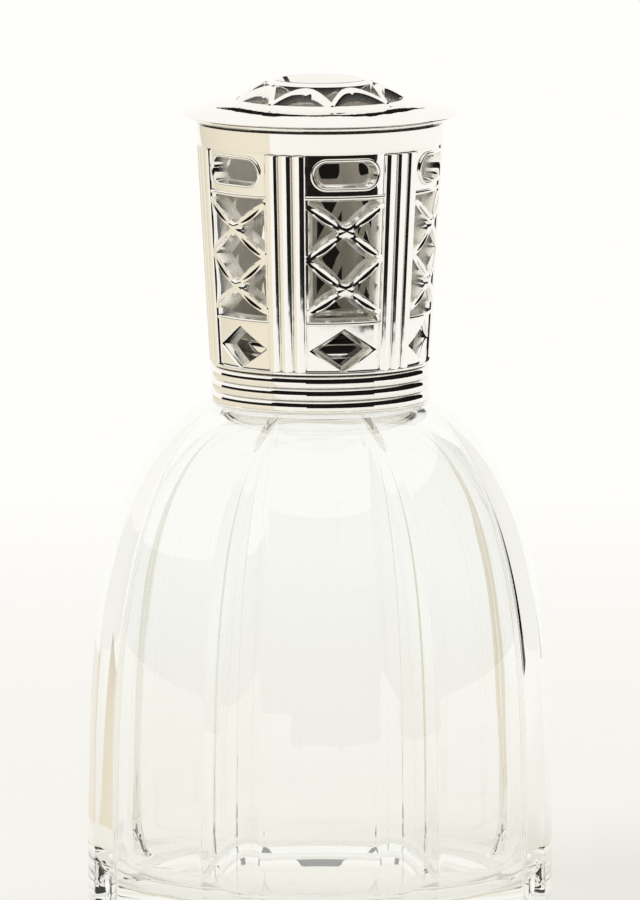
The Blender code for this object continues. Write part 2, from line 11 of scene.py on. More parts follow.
import bmesh
import bpy
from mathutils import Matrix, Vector


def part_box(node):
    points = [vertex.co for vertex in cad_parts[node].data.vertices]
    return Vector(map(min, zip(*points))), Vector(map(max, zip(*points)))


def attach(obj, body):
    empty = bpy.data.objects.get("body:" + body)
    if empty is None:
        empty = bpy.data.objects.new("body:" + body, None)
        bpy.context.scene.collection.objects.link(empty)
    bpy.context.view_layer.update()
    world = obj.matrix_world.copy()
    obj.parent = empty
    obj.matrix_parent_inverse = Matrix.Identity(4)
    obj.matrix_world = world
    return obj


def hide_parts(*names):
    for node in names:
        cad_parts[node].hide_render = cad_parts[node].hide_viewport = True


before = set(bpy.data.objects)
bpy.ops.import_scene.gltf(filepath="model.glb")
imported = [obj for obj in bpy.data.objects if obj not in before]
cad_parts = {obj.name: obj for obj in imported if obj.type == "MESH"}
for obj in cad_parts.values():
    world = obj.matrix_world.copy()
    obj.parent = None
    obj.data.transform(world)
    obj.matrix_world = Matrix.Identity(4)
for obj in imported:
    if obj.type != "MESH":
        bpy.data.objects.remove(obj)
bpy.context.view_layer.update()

MM = 0.001

# %% [markdown]
# ## Camera
# The lamp was photographed from a little above with a long lens, so its ellipses are flat and its
# sides nearly parallel. A long focal length at 1.5 m gives the same. The aim is the height on the
# lamp's axis that sits in the middle of the frame, so the foot is just below the frame.

# %% Camera
FRAME_HEIGHT_PX = 900
SENSOR = 36.0
VIEW_DISTANCE = 1.5
VIEW_ELEVATION = math.radians(8.2)
AIM_HEIGHT = 82.0 * MM
METRES_PER_PX = 0.1727 * MM

camera = bpy.data.objects.new("camera", bpy.data.cameras.new("camera"))
bpy.context.collection.objects.link(camera)
aim = Vector((0.0, 0.0, AIM_HEIGHT))
away = Vector((0.0, -math.cos(VIEW_ELEVATION), math.sin(VIEW_ELEVATION)))
camera.location = aim + away * VIEW_DISTANCE
camera.rotation_euler = away.to_track_quat('Z', 'Y').to_euler()
camera.data.sensor_width = SENSOR
camera.data.lens = SENSOR * VIEW_DISTANCE / (METRES_PER_PX * FRAME_HEIGHT_PX)
bpy.context.scene.camera = camera
print("lens in mm:", round(camera.data.lens, 1))

# %% [markdown]
# ## Stage
# Silver and glass have no colour of their own: they show what stands round them. The floor and the
# world are nearly white. A dark curved screen from the front round to the right, like the unlit part
# of a studio, is seen only in reflections and draws the black stripes that make plated metal read as
# metal. It is a painted reflection of shade: it neither blocks light nor casts a shadow. Its lower
# left wing draws thinner lines, and a cream sheet on the floor, also seen only in reflections, paints
# a warm reflection on the left side. A dark band high up behind paints the same dark reflection on the
# lid, which mirrors what is over its back.

# %% Stage
def math_node(nodes, operation):
    node = nodes.new("ShaderNodeMath")
    node.operation = operation
    return node


def plain_material(name, colour, roughness):
    material = bpy.data.materials.new(name)
    material.use_nodes = True
    shader = material.node_tree.nodes["Principled BSDF"]
    shader.inputs["Base Color"].default_value = (*colour, 1.0)
    shader.inputs["Roughness"].default_value = roughness
    shader.inputs["Specular IOR Level"].default_value = 0.0
    return material


def stage_sheet(name, corners, material):
    """A flat or folded sheet from rows of points. It belongs to the stage."""
    mesh = bpy.data.meshes.new(name)
    width = len(corners[0])
    points = [p for row in corners for p in row]
    faces = []
    for i in range(len(corners) - 1):
        for j in range(width - 1):
            a = i * width + j
            faces.append((a, a + 1, a + width + 1, a + width))
    mesh.from_pydata(points, [], faces)
    mesh.materials.append(material)
    sheet = bpy.data.objects.new(name, mesh)
    bpy.context.collection.objects.link(sheet)
    return sheet


def fading_floor(colour, near, far):
    """A matt floor that turns clear between two distances, so it runs into the backdrop with no edge."""
    material = plain_material("floor_paint", colour, 0.9)
    nodes, links = material.node_tree.nodes, material.node_tree.links
    place = nodes.new("ShaderNodeTexCoord")
    reach = nodes.new("ShaderNodeVectorMath")
    reach.operation = 'LENGTH'
    fade = nodes.new("ShaderNodeMapRange")
    fade.interpolation_type = 'SMOOTHSTEP'
    fade.inputs["From Min"].default_value = near
    fade.inputs["From Max"].default_value = far
    clear = nodes.new("ShaderNodeBsdfTransparent")
    mix = nodes.new("ShaderNodeMixShader")
    links.new(place.outputs["Object"], reach.inputs[0])
    links.new(reach.outputs["Value"], fade.inputs["Value"])
    links.new(fade.outputs["Result"], mix.inputs["Fac"])
    links.new(nodes["Principled BSDF"].outputs[0], mix.inputs[1])
    links.new(clear.outputs[0], mix.inputs[2])
    links.new(mix.outputs[0], nodes["Material Output"].inputs["Surface"])
    return material


FLOOR_REACH = 1.0
floor_paint = fading_floor((0.95, 0.935, 0.90), 0.10, 0.55)
stage_sheet("floor", [[(-FLOOR_REACH, y, 0.0), (FLOOR_REACH, y, 0.0)] for y in (-FLOOR_REACH, FLOOR_REACH)],
            floor_paint)


def reflection_only_sheet(name, colour):
    """A painted reflection: a sheet that plated metal mirrors and that glass doesn't show when one looks
    through it.
    """
    material = plain_material(name, colour, 1.0)
    nodes, links = material.node_tree.nodes, material.node_tree.links
    ray = nodes.new("ShaderNodeLightPath")
    clear = nodes.new("ShaderNodeBsdfTransparent")
    mix = nodes.new("ShaderNodeMixShader")
    links.new(ray.outputs["Is Transmission Ray"], mix.inputs["Fac"])
    links.new(nodes["Principled BSDF"].outputs[0], mix.inputs[1])
    links.new(clear.outputs[0], mix.inputs[2])
    links.new(mix.outputs[0], nodes["Material Output"].inputs["Surface"])
    return material


def round_screen(name, cloth, angles, rows):
    """A sheet bent round the lamp, from rows of a radius and the heights at both ends.

    Angles count in degrees from the front towards the right.
    """
    steps = [i / 24 for i in range(25)]
    lines = []
    for r, start, end in rows:
        line = []
        for t in steps:
            a = math.radians(angles[0] + (angles[1] - angles[0]) * t)
            line.append((r * math.sin(a), -r * math.cos(a), start + (end - start) * t))
        lines.append(line)
    sheet = stage_sheet(name, lines, cloth)
    sheet.visible_camera = False
    sheet.visible_diffuse = False
    sheet.visible_shadow = False
    sheet.visible_transmission = False
    return sheet


# Painted reflections: a dark sheet standing in for the unlit studio, and a cream one painting a warm glow.
DARK = reflection_only_sheet("painted_dark_reflection", (0.012, 0.011, 0.010))
CREAM = reflection_only_sheet("painted_cream_reflection", (0.86, 0.80, 0.67))
SCREEN = 1.2
ON_TABLE = 0.002
for name, cloth, angles, near in (("table_front", DARK, (-14.0, 58.0), 0.46),
                                  ("table_left", CREAM, (-150.0, -48.0), 0.10)):
    round_screen(name, cloth, angles, [(r, ON_TABLE, ON_TABLE) for r in (near, SCREEN)])
round_screen("dark_screen", DARK, (-54.0, 136.0), [(SCREEN, 0.0, 0.0), (SCREEN, 1.05, 1.05)])
round_screen("left_wing", DARK, (-125.0, -54.0), [(SCREEN, 0.0, 0.0), (SCREEN, 0.22, 0.50)])
round_screen("back_band", DARK, (175.6, 184.4), [(SCREEN, 0.38, 0.38), (SCREEN, 0.76, 0.76)])

world = bpy.data.worlds.new("studio")
bpy.context.scene.world = world
world.use_nodes = True
nodes, links = world.node_tree.nodes, world.node_tree.links
AMBIENT = 0.62
light_path = nodes.new("ShaderNodeLightPath")
seen, seen_too = math_node(nodes, 'MAXIMUM'), math_node(nodes, 'MAXIMUM')
strength = nodes.new("ShaderNodeMapRange")
strength.inputs["To Min"].default_value = AMBIENT
strength.inputs["To Max"].default_value = 1.0
links.new(light_path.outputs["Is Camera Ray"], seen.inputs[0])
links.new(light_path.outputs["Is Glossy Ray"], seen.inputs[1])
links.new(seen.outputs[0], seen_too.inputs[0])
links.new(light_path.outputs["Is Transmission Ray"], seen_too.inputs[1])
links.new(seen_too.outputs[0], strength.inputs["Value"])
backdrop = nodes["Background"]
backdrop.inputs["Color"].default_value = (1.0, 0.992, 0.965, 1.0)
links.new(strength.outputs["Result"], backdrop.inputs["Strength"])

LAMPS = {
    "key_lamp": ((-0.9, -0.5, 1.3), 0.9, 9.0),
    "fill_lamp": ((1.0, 0.5, 1.2), 0.8, 5.0),
}
for name, (place, size, power) in LAMPS.items():
    lamp = bpy.data.objects.new(name, bpy.data.lights.new(name, 'AREA'))
    lamp.data.size = size
    lamp.data.energy = power
    lamp.location = place
    lamp.rotation_euler = (Vector(place) - aim).to_track_quat('Z', 'Y').to_euler()
    lamp.visible_glossy = False
    lamp.visible_transmission = False
    bpy.context.collection.objects.link(lamp)
bpy.context.scene.view_settings.view_transform = 'Standard'
print("lamps:", list(LAMPS))

# %% [markdown]
# ## Shared surface effects
# Cast and plated metal is never a perfect mirror: polishing leaves a faint ripple that breaks the
# edges of reflections, and handling leaves a haze. Pressed glass has a slow wave from the mould. One
# node group makes such a height field at any scale and stretch, and another makes a patchy mask.

# %% Surface effect groups
def new_group(name, inputs, outputs):
    group = bpy.data.node_groups.new(name, "ShaderNodeTree")
    for label, default in inputs:
        socket = group.interface.new_socket(label, in_out='INPUT', socket_type='NodeSocketFloat')
        socket.default_value = default
    for label in outputs:
        group.interface.new_socket(label, in_out='OUTPUT', socket_type='NodeSocketFloat')
    start = group.nodes.new("NodeGroupInput")
    end = group.nodes.new("NodeGroupOutput")
    return group, start, end


def ripple_group():
    """A soft height field on object coordinates, stretched along the upright direction."""
    inputs = [("Scale", 100.0), ("Upright Stretch", 1.0)]
    group, start, end = new_group("surface_ripple", inputs, ["Height"])
    place = group.nodes.new("ShaderNodeTexCoord")
    stretch = group.nodes.new("ShaderNodeCombineXYZ")
    mapping = group.nodes.new("ShaderNodeMapping")
    noise = group.nodes.new("ShaderNodeTexNoise")
    divide = math_node(group.nodes, 'DIVIDE')
    divide.inputs[0].default_value = 1.0
    stretch.inputs[0].default_value = 1.0
    stretch.inputs[1].default_value = 1.0
    noise.inputs["Detail"].default_value = 2.0
    group.links.new(start.outputs["Upright Stretch"], divide.inputs[1])
    group.links.new(divide.outputs[0], stretch.inputs[2])
    group.links.new(place.outputs["Object"], mapping.inputs["Vector"])
    group.links.new(stretch.outputs[0], mapping.inputs["Scale"])
    group.links.new(mapping.outputs[0], noise.inputs["Vector"])
    group.links.new(start.outputs["Scale"], noise.inputs["Scale"])
    group.links.new(noise.outputs["Fac"], end.inputs["Height"])
    return group


def haze_group():
    """A patchy mask from 0 to 1 for handling haze and tarnish."""
    group, start, end = new_group("handling_haze", [("Scale", 60.0), ("Contrast", 2.0)], ["Mask"])
    place = group.nodes.new("ShaderNodeTexCoord")
    noise = group.nodes.new("ShaderNodeTexNoise")
    noise.inputs["Detail"].default_value = 6.0
    noise.inputs["Roughness"].default_value = 0.6
    power = math_node(group.nodes, 'POWER')
    group.links.new(place.outputs["Object"], noise.inputs["Vector"])
    group.links.new(start.outputs["Scale"], noise.inputs["Scale"])
    group.links.new(noise.outputs["Fac"], power.inputs[0])
    group.links.new(start.outputs["Contrast"], power.inputs[1])
    group.links.new(power.outputs[0], end.inputs["Mask"])
    return group


RIPPLE = ripple_group()
HAZE = haze_group()
print("effect groups:", RIPPLE.name, HAZE.name)

# %% [markdown]
# ## Finishes
# Each finish is a Principled shader with its own values. The silver is warm and almost a mirror, the
# burner's metal is satin, the stone is rough and full of pores, and the glass is clear with a trace
# of green.

# %% Finishes
def new_finish(name, colour, roughness, metallic):
    material = bpy.data.materials.new(name)
    material.use_nodes = True
    shader = material.node_tree.nodes["Principled BSDF"]
    shader.inputs["Base Color"].default_value = (*colour, 1.0)
    shader.inputs["Roughness"].default_value = roughness
    shader.inputs["Metallic"].default_value = metallic
    return material, shader


def add_effect(material, group, **values):
    node = material.node_tree.nodes.new("ShaderNodeGroup")
    node.node_tree = group
    for label, value in values.items():
        node.inputs[label.replace("_", " ")].default_value = value
    return node


def add_bump(material, shader, height, strength, distance):
    bump = material.node_tree.nodes.new("ShaderNodeBump")
    bump.inputs["Strength"].default_value = strength
    bump.inputs["Distance"].default_value = distance
    material.node_tree.links.new(height, bump.inputs["Height"])
    material.node_tree.links.new(bump.outputs["Normal"], shader.inputs["Normal"])
    return bump


def vary(material, mask, socket, low, high):
    """Drive a shader value from a mask."""
    span = material.node_tree.nodes.new("ShaderNodeMapRange")
    span.inputs["To Min"].default_value = low
    span.inputs["To Max"].default_value = high
    material.node_tree.links.new(mask, span.inputs["Value"])
    material.node_tree.links.new(span.outputs["Result"], socket)


def tint(material, mask, socket, low, high):
    """Drive a shader colour from a mask."""
    mix = material.node_tree.nodes.new("ShaderNodeMix")
    mix.data_type = 'RGBA'
    mix.inputs["A"].default_value = (*low, 1.0)
    mix.inputs["B"].default_value = (*high, 1.0)
    material.node_tree.links.new(mask, mix.inputs["Factor"])
    material.node_tree.links.new(mix.outputs["Result"], socket)


HAZE_SHARE = 0.22
MATT_METALLIC = 0.2
CAST_RELIEF = 14.0


def plated_finish(name, colour, haze_and_recess_shade, roughness, ripple):
    """Plate that is matt where the piece's recess value says that no polish reached, and a little darker
    there with painted shade. Handling haze darkens it in patches too.
    """
    material, shader = new_finish(name, colour, roughness[0], 1.0)
    nodes, links = material.node_tree.nodes, material.node_tree.links
    haze = add_effect(material, HAZE, Scale=90.0, Contrast=2.5)
    recess = nodes.new("ShaderNodeAttribute")
    recess.attribute_name = "recess"
    most = math_node(nodes, 'MAXIMUM')
    soft = math_node(nodes, 'MULTIPLY')
    soft.inputs[1].default_value = HAZE_SHARE
    links.new(haze.outputs["Mask"], soft.inputs[0])
    links.new(soft.outputs[0], most.inputs[0])
    links.new(recess.outputs["Fac"], most.inputs[1])
    vary(material, most.outputs[0], shader.inputs["Roughness"], *roughness)
    # The darker tint is painted shade in the recesses and real handling haze in the patches.
    tint(material, most.outputs[0], shader.inputs["Base Color"], colour, haze_and_recess_shade)
    vary(material, recess.outputs["Fac"], shader.inputs["Metallic"], 1.0, MATT_METALLIC)
    wave = add_effect(material, RIPPLE, Scale=420.0, Upright_Stretch=3.0)
    cast = add_effect(material, RIPPLE, Scale=230.0, Upright_Stretch=2.0)
    rough = math_node(nodes, 'MULTIPLY')
    height = math_node(nodes, 'MULTIPLY_ADD')
    height.inputs[1].default_value = CAST_RELIEF
    links.new(cast.outputs["Height"], rough.inputs[0])
    links.new(recess.outputs["Fac"], rough.inputs[1])
    links.new(rough.outputs[0], height.inputs[0])
    links.new(wave.outputs["Height"], height.inputs[2])
    add_bump(material, shader, height.outputs[0], ripple, 0.05 * MM)
    return material


silver = plated_finish("bright_silver_plate", (0.955, 0.94, 0.905), (0.93, 0.90, 0.83), (0.03, 0.42), 0.5)
satin_metal = plated_finish("satin_burner_metal", (0.66, 0.65, 0.63), (0.30, 0.29, 0.27), (0.22, 0.50), 0.6)

clear_glass, shader = new_finish("clear_pressed_glass", (0.985, 0.992, 0.982), 0.0, 0.0)
shader.inputs["Transmission Weight"].default_value = 1.0
shader.inputs["IOR"].default_value = 1.52
mould_wave = add_effect(clear_glass, RIPPLE, Scale=55.0, Upright_Stretch=2.5)
add_bump(clear_glass, shader, mould_wave.outputs["Height"], 0.35, 0.25 * MM)


FOLLOWED_BOUNCES = 2


def let_light_through(material, shader, colour, trapped_painted_tone):
    """Shadow and diffuse rays pass straight through, so the glass doesn't stand in its own shade.

    So do rays that have bounced inside the wall more often than is followed, which would otherwise be
    lost and show black. They come out with a painted tone, a little darker and warmer, that stands in
    for the shade along the glass's thick edges.
    """
    nodes, links = material.node_tree.nodes, material.node_tree.links
    ray = nodes.new("ShaderNodeLightPath")
    either = math_node(nodes, 'MAXIMUM')
    clear = nodes.new("ShaderNodeBsdfTransparent")
    tone = nodes.new("ShaderNodeMix")
    tone.data_type = 'RGBA'
    tone.inputs["A"].default_value = (*colour, 1.0)
    tone.inputs["B"].default_value = (*trapped_painted_tone, 1.0)
    mix = nodes.new("ShaderNodeMixShader")
    links.new(ray.outputs["Is Shadow Ray"], either.inputs[0])
    links.new(ray.outputs["Is Diffuse Ray"], either.inputs[1])
    trapped = math_node(nodes, 'GREATER_THAN')
    trapped.inputs[1].default_value = FOLLOWED_BOUNCES + 0.5
    passing = math_node(nodes, 'MAXIMUM')
    links.new(ray.outputs["Glossy Depth"], trapped.inputs[0])
    links.new(either.outputs[0], passing.inputs[0])
    links.new(trapped.outputs[0], passing.inputs[1])
    links.new(trapped.outputs[0], tone.inputs["Factor"])
    links.new(tone.outputs["Result"], clear.inputs["Color"])
    links.new(passing.outputs[0], mix.inputs["Fac"])
    links.new(shader.outputs[0], mix.inputs[1])
    links.new(clear.outputs[0], mix.inputs[2])
    links.new(mix.outputs[0], nodes["Material Output"].inputs["Surface"])


# The second, darker and warmer tone is painted shade on the rays trapped in the glass.
let_light_through(clear_glass, shader, (0.97, 0.97, 0.96), (0.95, 0.945, 0.92))

porous_stone, shader = new_finish("porous_catalytic_stone", (0.42, 0.41, 0.39), 0.9, 0.0)
pores = add_effect(porous_stone, HAZE, Scale=1400.0, Contrast=3.0)
tint(porous_stone, pores.outputs["Mask"], shader.inputs["Base Color"], (0.50, 0.49, 0.46),
     (0.16, 0.15, 0.14))
grain = add_effect(porous_stone, RIPPLE, Scale=1800.0, Upright_Stretch=1.0)
add_bump(porous_stone, shader, grain.outputs["Height"], 1.0, 0.2 * MM)

gasket_rubber, shader = new_finish("gasket_rubber", (0.05, 0.05, 0.05), 0.65, 0.0)
dust = add_effect(gasket_rubber, HAZE, Scale=700.0, Contrast=2.0)
tint(gasket_rubber, dust.outputs["Mask"], shader.inputs["Base Color"], (0.035, 0.035, 0.035),
     (0.12, 0.12, 0.115))

bond_plaster, shader = new_finish("bonding_plaster", (0.80, 0.79, 0.75), 0.85, 0.0)
lumps = add_effect(bond_plaster, RIPPLE, Scale=900.0, Upright_Stretch=1.0)
add_bump(bond_plaster, shader, lumps.outputs["Height"], 0.8, 0.15 * MM)
finishes = (silver, satin_metal, clear_glass, porous_stone, gasket_rubber, bond_plaster)
print("finishes:", [material.name for material in finishes])

# %% [markdown]
# ## Repeating round the axis
# Every piece of this lamp repeats round one axis: the bottle's flutes, the cap's panels, the dome's
# arches, and the thin slices of a turned ring. So one Geometry Nodes tree does it all. It places
# copies of a sector on turned points, makes them real, welds the seams and sets the finish.

# %% Repeat tree
def build_round_tree():
    tree = bpy.data.node_groups.new("repeat_round_axis", "GeometryNodeTree")
    tree.is_modifier = True
    face = tree.interface
    face.new_socket("Geometry", in_out='INPUT', socket_type='NodeSocketGeometry')
    keys = {}
    for label, kind in (("Copies", 'NodeSocketInt'), ("Weld Distance", 'NodeSocketFloat'),
                        ("Finish", 'NodeSocketMaterial')):
        keys[label] = face.new_socket(label, in_out='INPUT', socket_type=kind).identifier
    face.new_socket("Geometry", in_out='OUTPUT', socket_type='NodeSocketGeometry')
    make = tree.nodes.new
    link = tree.links.new
    start, end = make("NodeGroupInput"), make("NodeGroupOutput")
    points = make("GeometryNodePoints")
    spread_out = make("GeometryNodeInstanceOnPoints")
    index = make("GeometryNodeInputIndex")
    step = math_node(tree.nodes, 'DIVIDE')
    step.inputs[0].default_value = math.tau
    turn = math_node(tree.nodes, 'MULTIPLY')
    spin = make("ShaderNodeCombineXYZ")
    real = make("GeometryNodeRealizeInstances")
    weld = make("GeometryNodeMergeByDistance")
    finish = make("GeometryNodeSetMaterial")
    link(start.outputs["Copies"], points.inputs["Count"])
    link(start.outputs["Copies"], step.inputs[1])
    link(step.outputs[0], turn.inputs[0])
    link(index.outputs[0], turn.inputs[1])
    link(turn.outputs[0], spin.inputs["Z"])
    link(points.outputs[0], spread_out.inputs["Points"])
    link(start.outputs["Geometry"], spread_out.inputs["Instance"])
    link(spin.outputs[0], spread_out.inputs["Rotation"])
    link(spread_out.outputs[0], real.inputs[0])
    link(real.outputs[0], weld.inputs["Geometry"])
    link(start.outputs["Weld Distance"], weld.inputs["Distance"])
    link(weld.outputs[0], finish.inputs["Geometry"])
    link(start.outputs["Finish"], finish.inputs["Material"])
    link(finish.outputs[0], end.inputs[0])
    return tree, keys


ROUND_TREE, ROUND_KEYS = build_round_tree()
WELD = 0.002 * MM


def repeat_round(name, bm, copies, finish):
    """Repeat a sector round the axis with the tree and return a plain mesh object."""
    mesh = bpy.data.meshes.new(name)
    bm.to_mesh(mesh)
    bm.free()
    piece = bpy.data.objects.new(name, mesh)
    bpy.context.collection.objects.link(piece)
    modifier = piece.modifiers.new("round", 'NODES')
    modifier.node_group = ROUND_TREE
    modifier[ROUND_KEYS["Copies"]] = copies
    modifier[ROUND_KEYS["Weld Distance"]] = WELD
    modifier[ROUND_KEYS["Finish"]] = finish
    graph = bpy.context.evaluated_depsgraph_get()
    piece.data = bpy.data.meshes.new_from_object(piece.evaluated_get(graph))
    piece.modifiers.clear()
    bpy.data.meshes.remove(mesh)
    return piece


def join_pieces(name, finish, pieces):
    """Join plain mesh objects into one with one finish."""
    bm = bmesh.new()
    for piece in pieces:
        bm.from_mesh(piece.data)
        bpy.data.objects.remove(piece)
    for face in bm.faces:
        face.material_index = 0
    mesh = bpy.data.meshes.new(name)
    bm.to_mesh(mesh)
    bm.free()
    mesh.materials.append(finish)
    joined = bpy.data.objects.new(name, mesh)
    bpy.context.collection.objects.link(joined)
    return joined


def mark_recess(piece, depth_of, shallow, deep):
    """Store how far each point lies below the polished face, from 0 at the face to 1. The plate makes it
    matt and paints shade by it.
    """
    values = piece.data.attributes.new("recess", 'FLOAT', 'POINT')
    for vertex in piece.data.vertices:
        r = math.hypot(vertex.co.x, vertex.co.y)
        t = (depth_of(r, vertex.co.z) - shallow) / (deep - shallow)
        values.data[vertex.index].value = min(max(t, 0.0), 1.0)


def hand_over(piece, body, slot, *nodes, crease=40.0):
    """Point the faces out, shade the piece and set it in the frame in place of its CAD nodes."""
    bm = bmesh.new()
    bm.from_mesh(piece.data)
    bmesh.ops.recalc_face_normals(bm, faces=bm.faces)
    bm.to_mesh(piece.data)
    bm.free()
    piece.data.shade_smooth()
    piece.data.set_sharp_from_angle(angle=math.radians(crease))
    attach(piece, body)
    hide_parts(*nodes)
    print(piece.name, "faces:", len(piece.data.polygons))


print("repeat tree inputs:", list(ROUND_KEYS))

# %% [markdown]
# ## Skinning helpers
# A shape that is drawn as a run of matching lines only needs a skin between them. Angles count from
# the front of the lamp towards its right, so angle 0 faces the camera. Pieces that fit together leave
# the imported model's clearance between them.

# %% Skinning helpers
FIT = 0.3 * MM


def polar(r, angle, z):
    return Vector((r * math.sin(angle), -r * math.cos(angle), z))


def spread(start, end, steps):
    return [start + (end - start) * i / steps for i in range(steps + 1)]


def ease(t):
    t = min(max(t, 0.0), 1.0)
    return t * t * (3 - 2 * t)


def arc(centre, radius, start, end, steps):
    return [(centre[0] + radius * math.cos(a), centre[1] + radius * math.sin(a))
            for a in spread(start, end, steps)]


def bezier(p0, p1, p2, p3, steps):
    points = []
    for t in spread(0.0, 1.0, steps):
        s = 1 - t
        weights = (s ** 3, 3 * s * s * t, 3 * s * t * t, t ** 3)
        points.append(tuple(sum(w * p[k] for w, p in zip(weights, (p0, p1, p2, p3))) for k in (0, 1)))
    return points


def skin(bm, lines, ring=False, loop=False):
    """Faces between lines. A ring closes each line, and a loop joins the last line to the first."""
    rows = [[bm.verts.new(p) for p in line] for line in lines]
    pairs = list(zip(rows, rows[1:]))
    if loop:
        pairs.append((rows[-1], rows[0]))
    for a, b in pairs:
        last = len(a) if ring else len(a) - 1
        for i in range(last):
            j = (i + 1) % len(a)
            bm.faces.new((a[i], a[j], b[j], b[i]))
    return rows


def capped_skin(bm, lines):
    """A closed bar: a skin round its cuts and a face on each end."""
    rows = skin(bm, lines, ring=True)
    for row in (rows[0], rows[-1]):
        bm.faces.new(row)


def turned(name, profile, finish, slices=120):
    """A lathe piece: one thin slice of a closed outline, repeated round the axis."""
    bm = bmesh.new()
    half = math.pi / slices
    outline = profile + profile[:1]
    skin(bm, [[polar(r, a, z) for r, z in outline] for a in (-half, half)])
    return repeat_round(name, bm, slices, finish)


print("helpers ready")

# %% [markdown]
# ## Bottle
# The bottle is pressed glass: a bell whose outline is a superellipse, with eight hollow flutes that
# rise to nothing at the shoulder. One sector from panel middle to panel middle holds one flute. Its
# cross-section is a shallow parabola, and a soft maximum rounds the crease where it meets the panel.
# The inside is smooth, so the glass is thinner behind a flute and bends light there.

# %% Bottle sizes
bottle_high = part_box("glass_bottle")[1]
BELL_RADIUS = bottle_high.x
BELL_APEX = 94.0 * MM
SIDE_POWER, TOP_POWER = 2.8, 3.7
FOOT_ROUND = 4.0 * MM
FOOT_RING_INNER = 30.3 * MM
PUNT_RISE = 3.0 * MM
FLUTES = 8
FLUTE_HALF = math.radians(7.5)
FLUTE_DEPTH = 1.8 * MM
FLUTE_RUN_OUT = 17.0 * MM
FLUTE_TIP_WIDTH = 0.35
FLUTE_SHARE = 0.5
CREASE_SOFTNESS = 0.10 * MM
LIP_ROUND = 1.0 * MM
INNER_RADIUS = BELL_RADIUS - 3.6 * MM
INNER_APEX = BELL_APEX - 4.2 * MM
BASE_THICKNESS = 8.0 * MM
FLOOR_ROUND = 6.0 * MM
NECK_BORE = 9.6 * MM
NECK_RADIUS = 12.4 * MM
LAND_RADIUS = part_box("cap_band")[1].x + FIT
NECK_TOP = bottle_high.z


def bell(angle, radius, apex):
    return radius * math.cos(angle) ** (2 / SIDE_POWER), apex * math.sin(angle) ** (2 / TOP_POWER)


def bell_at_height(z, apex):
    return math.asin((z / apex) ** (TOP_POWER / 2))


def bell_at_radius(r, radius):
    return math.acos((r / radius) ** (SIDE_POWER / 2))


LAND_Z = bell(bell_at_radius(LAND_RADIUS, BELL_RADIUS), BELL_RADIUS, BELL_APEX)[1]
print("shoulder land in mm:", round(LAND_Z / MM, 2), "neck top:", round(NECK_TOP / MM, 2))

# %% Bottle outline
def bottle_outline():
    """Points (radius, height, flute strength) from under the foot over the lip to the inner floor."""
    low = bell_at_height(FOOT_ROUND, BELL_APEX)
    high = bell_at_radius(LAND_RADIUS, BELL_RADIUS)
    side = bell(low, BELL_RADIUS, BELL_APEX)[0]
    foot = arc((side - FOOT_ROUND, FOOT_ROUND), FOOT_ROUND, -math.pi / 2, 0.0, 8)
    outside = [bell(a, BELL_RADIUS, BELL_APEX) for a in spread(low, high, 56)]
    ring = [(r, 0.0) for r in spread(FOOT_RING_INNER, side - FOOT_ROUND, 4)]
    punt = [(FOOT_RING_INNER * t, PUNT_RISE * (1 - t * t)) for t in spread(0.02, 1.0, 10)]
    fluted = [(r, z, ease((r - LAND_RADIUS) / FLUTE_RUN_OUT)) for r, z in foot[1:] + outside[1:]]
    corner_z = BASE_THICKNESS + FLOOR_ROUND
    inner_low = bell_at_height(corner_z, INNER_APEX)
    inner_high = bell_at_radius(NECK_BORE, INNER_RADIUS)
    inside = [bell(a, INNER_RADIUS, INNER_APEX) for a in spread(inner_high, inner_low, 40)]
    corner = arc((inside[-1][0] - FLOOR_ROUND, corner_z), FLOOR_ROUND, 0.0, -math.pi / 2, 8)
    floor = [(corner[-1][0] * t, BASE_THICKNESS) for t in spread(1.0, 0.02, 6)]
    lip = arc((NECK_RADIUS - LIP_ROUND, NECK_TOP - LIP_ROUND), LIP_ROUND, 0.0, math.pi / 2, 4)
    plain = [(r, LAND_Z) for r in spread(LAND_RADIUS, NECK_RADIUS, 4)[1:]] + lip
    plain += [(NECK_BORE, NECK_TOP)] + [(NECK_BORE, z) for z in spread(NECK_TOP, inside[0][1], 4)[1:-1]]
    plain += inside + corner[1:] + floor[1:]
    under = [(r, z, 0.0) for r, z in punt + ring[1:-1]] + [(*ring[-1], 1.0)]
    return under + fluted + [(r, z, 0.0) for r, z in plain]


def flute_line(t, r, z, strength):
    """A point of the sector at t from -1 to 1 across it, pushed in where the flute is."""
    pitch = math.tau / FLUTES
    half = FLUTE_HALF * (FLUTE_TIP_WIDTH + (1 - FLUTE_TIP_WIDTH) * strength)
    if abs(t) < FLUTE_SHARE:
        angle = t / FLUTE_SHARE * half
    else:
        angle = math.copysign(half + (abs(t) - FLUTE_SHARE) / (1 - FLUTE_SHARE) * (pitch / 2 - half), t)
    hollow = FLUTE_DEPTH * (1 - (angle / half) ** 2)
    push = strength * 0.5 * (hollow + math.hypot(hollow, CREASE_SOFTNESS))
    return polar(r - push, math.pi / FLUTES + angle, z)


def crowded(steps):
    """Values from -1 to 1 that crowd round the two creases at plus and minus a half."""
    values = []
    for centre in (-0.5, 0.5):
        for t in spread(-1.0, 1.0, steps):
            values.append(centre + 0.5 * math.copysign(abs(t) ** 1.6, t))
    return sorted(set(round(v, 6) for v in values))


bm = bmesh.new()
outline = bottle_outline()
skin(bm, [[flute_line(t, *point) for point in outline] for t in crowded(18)])
bottle = repeat_round("fluted_bottle", bm, FLUTES, clear_glass)
bm = bmesh.new()
bm.from_mesh(bottle.data)
bmesh.ops.holes_fill(bm, edges=[e for e in bm.edges if e.is_boundary], sides=0)
bm.to_mesh(bottle.data)
bm.free()
hand_over(bottle, "bottle", "clear_glass", "glass_bottle", crease=60.0)

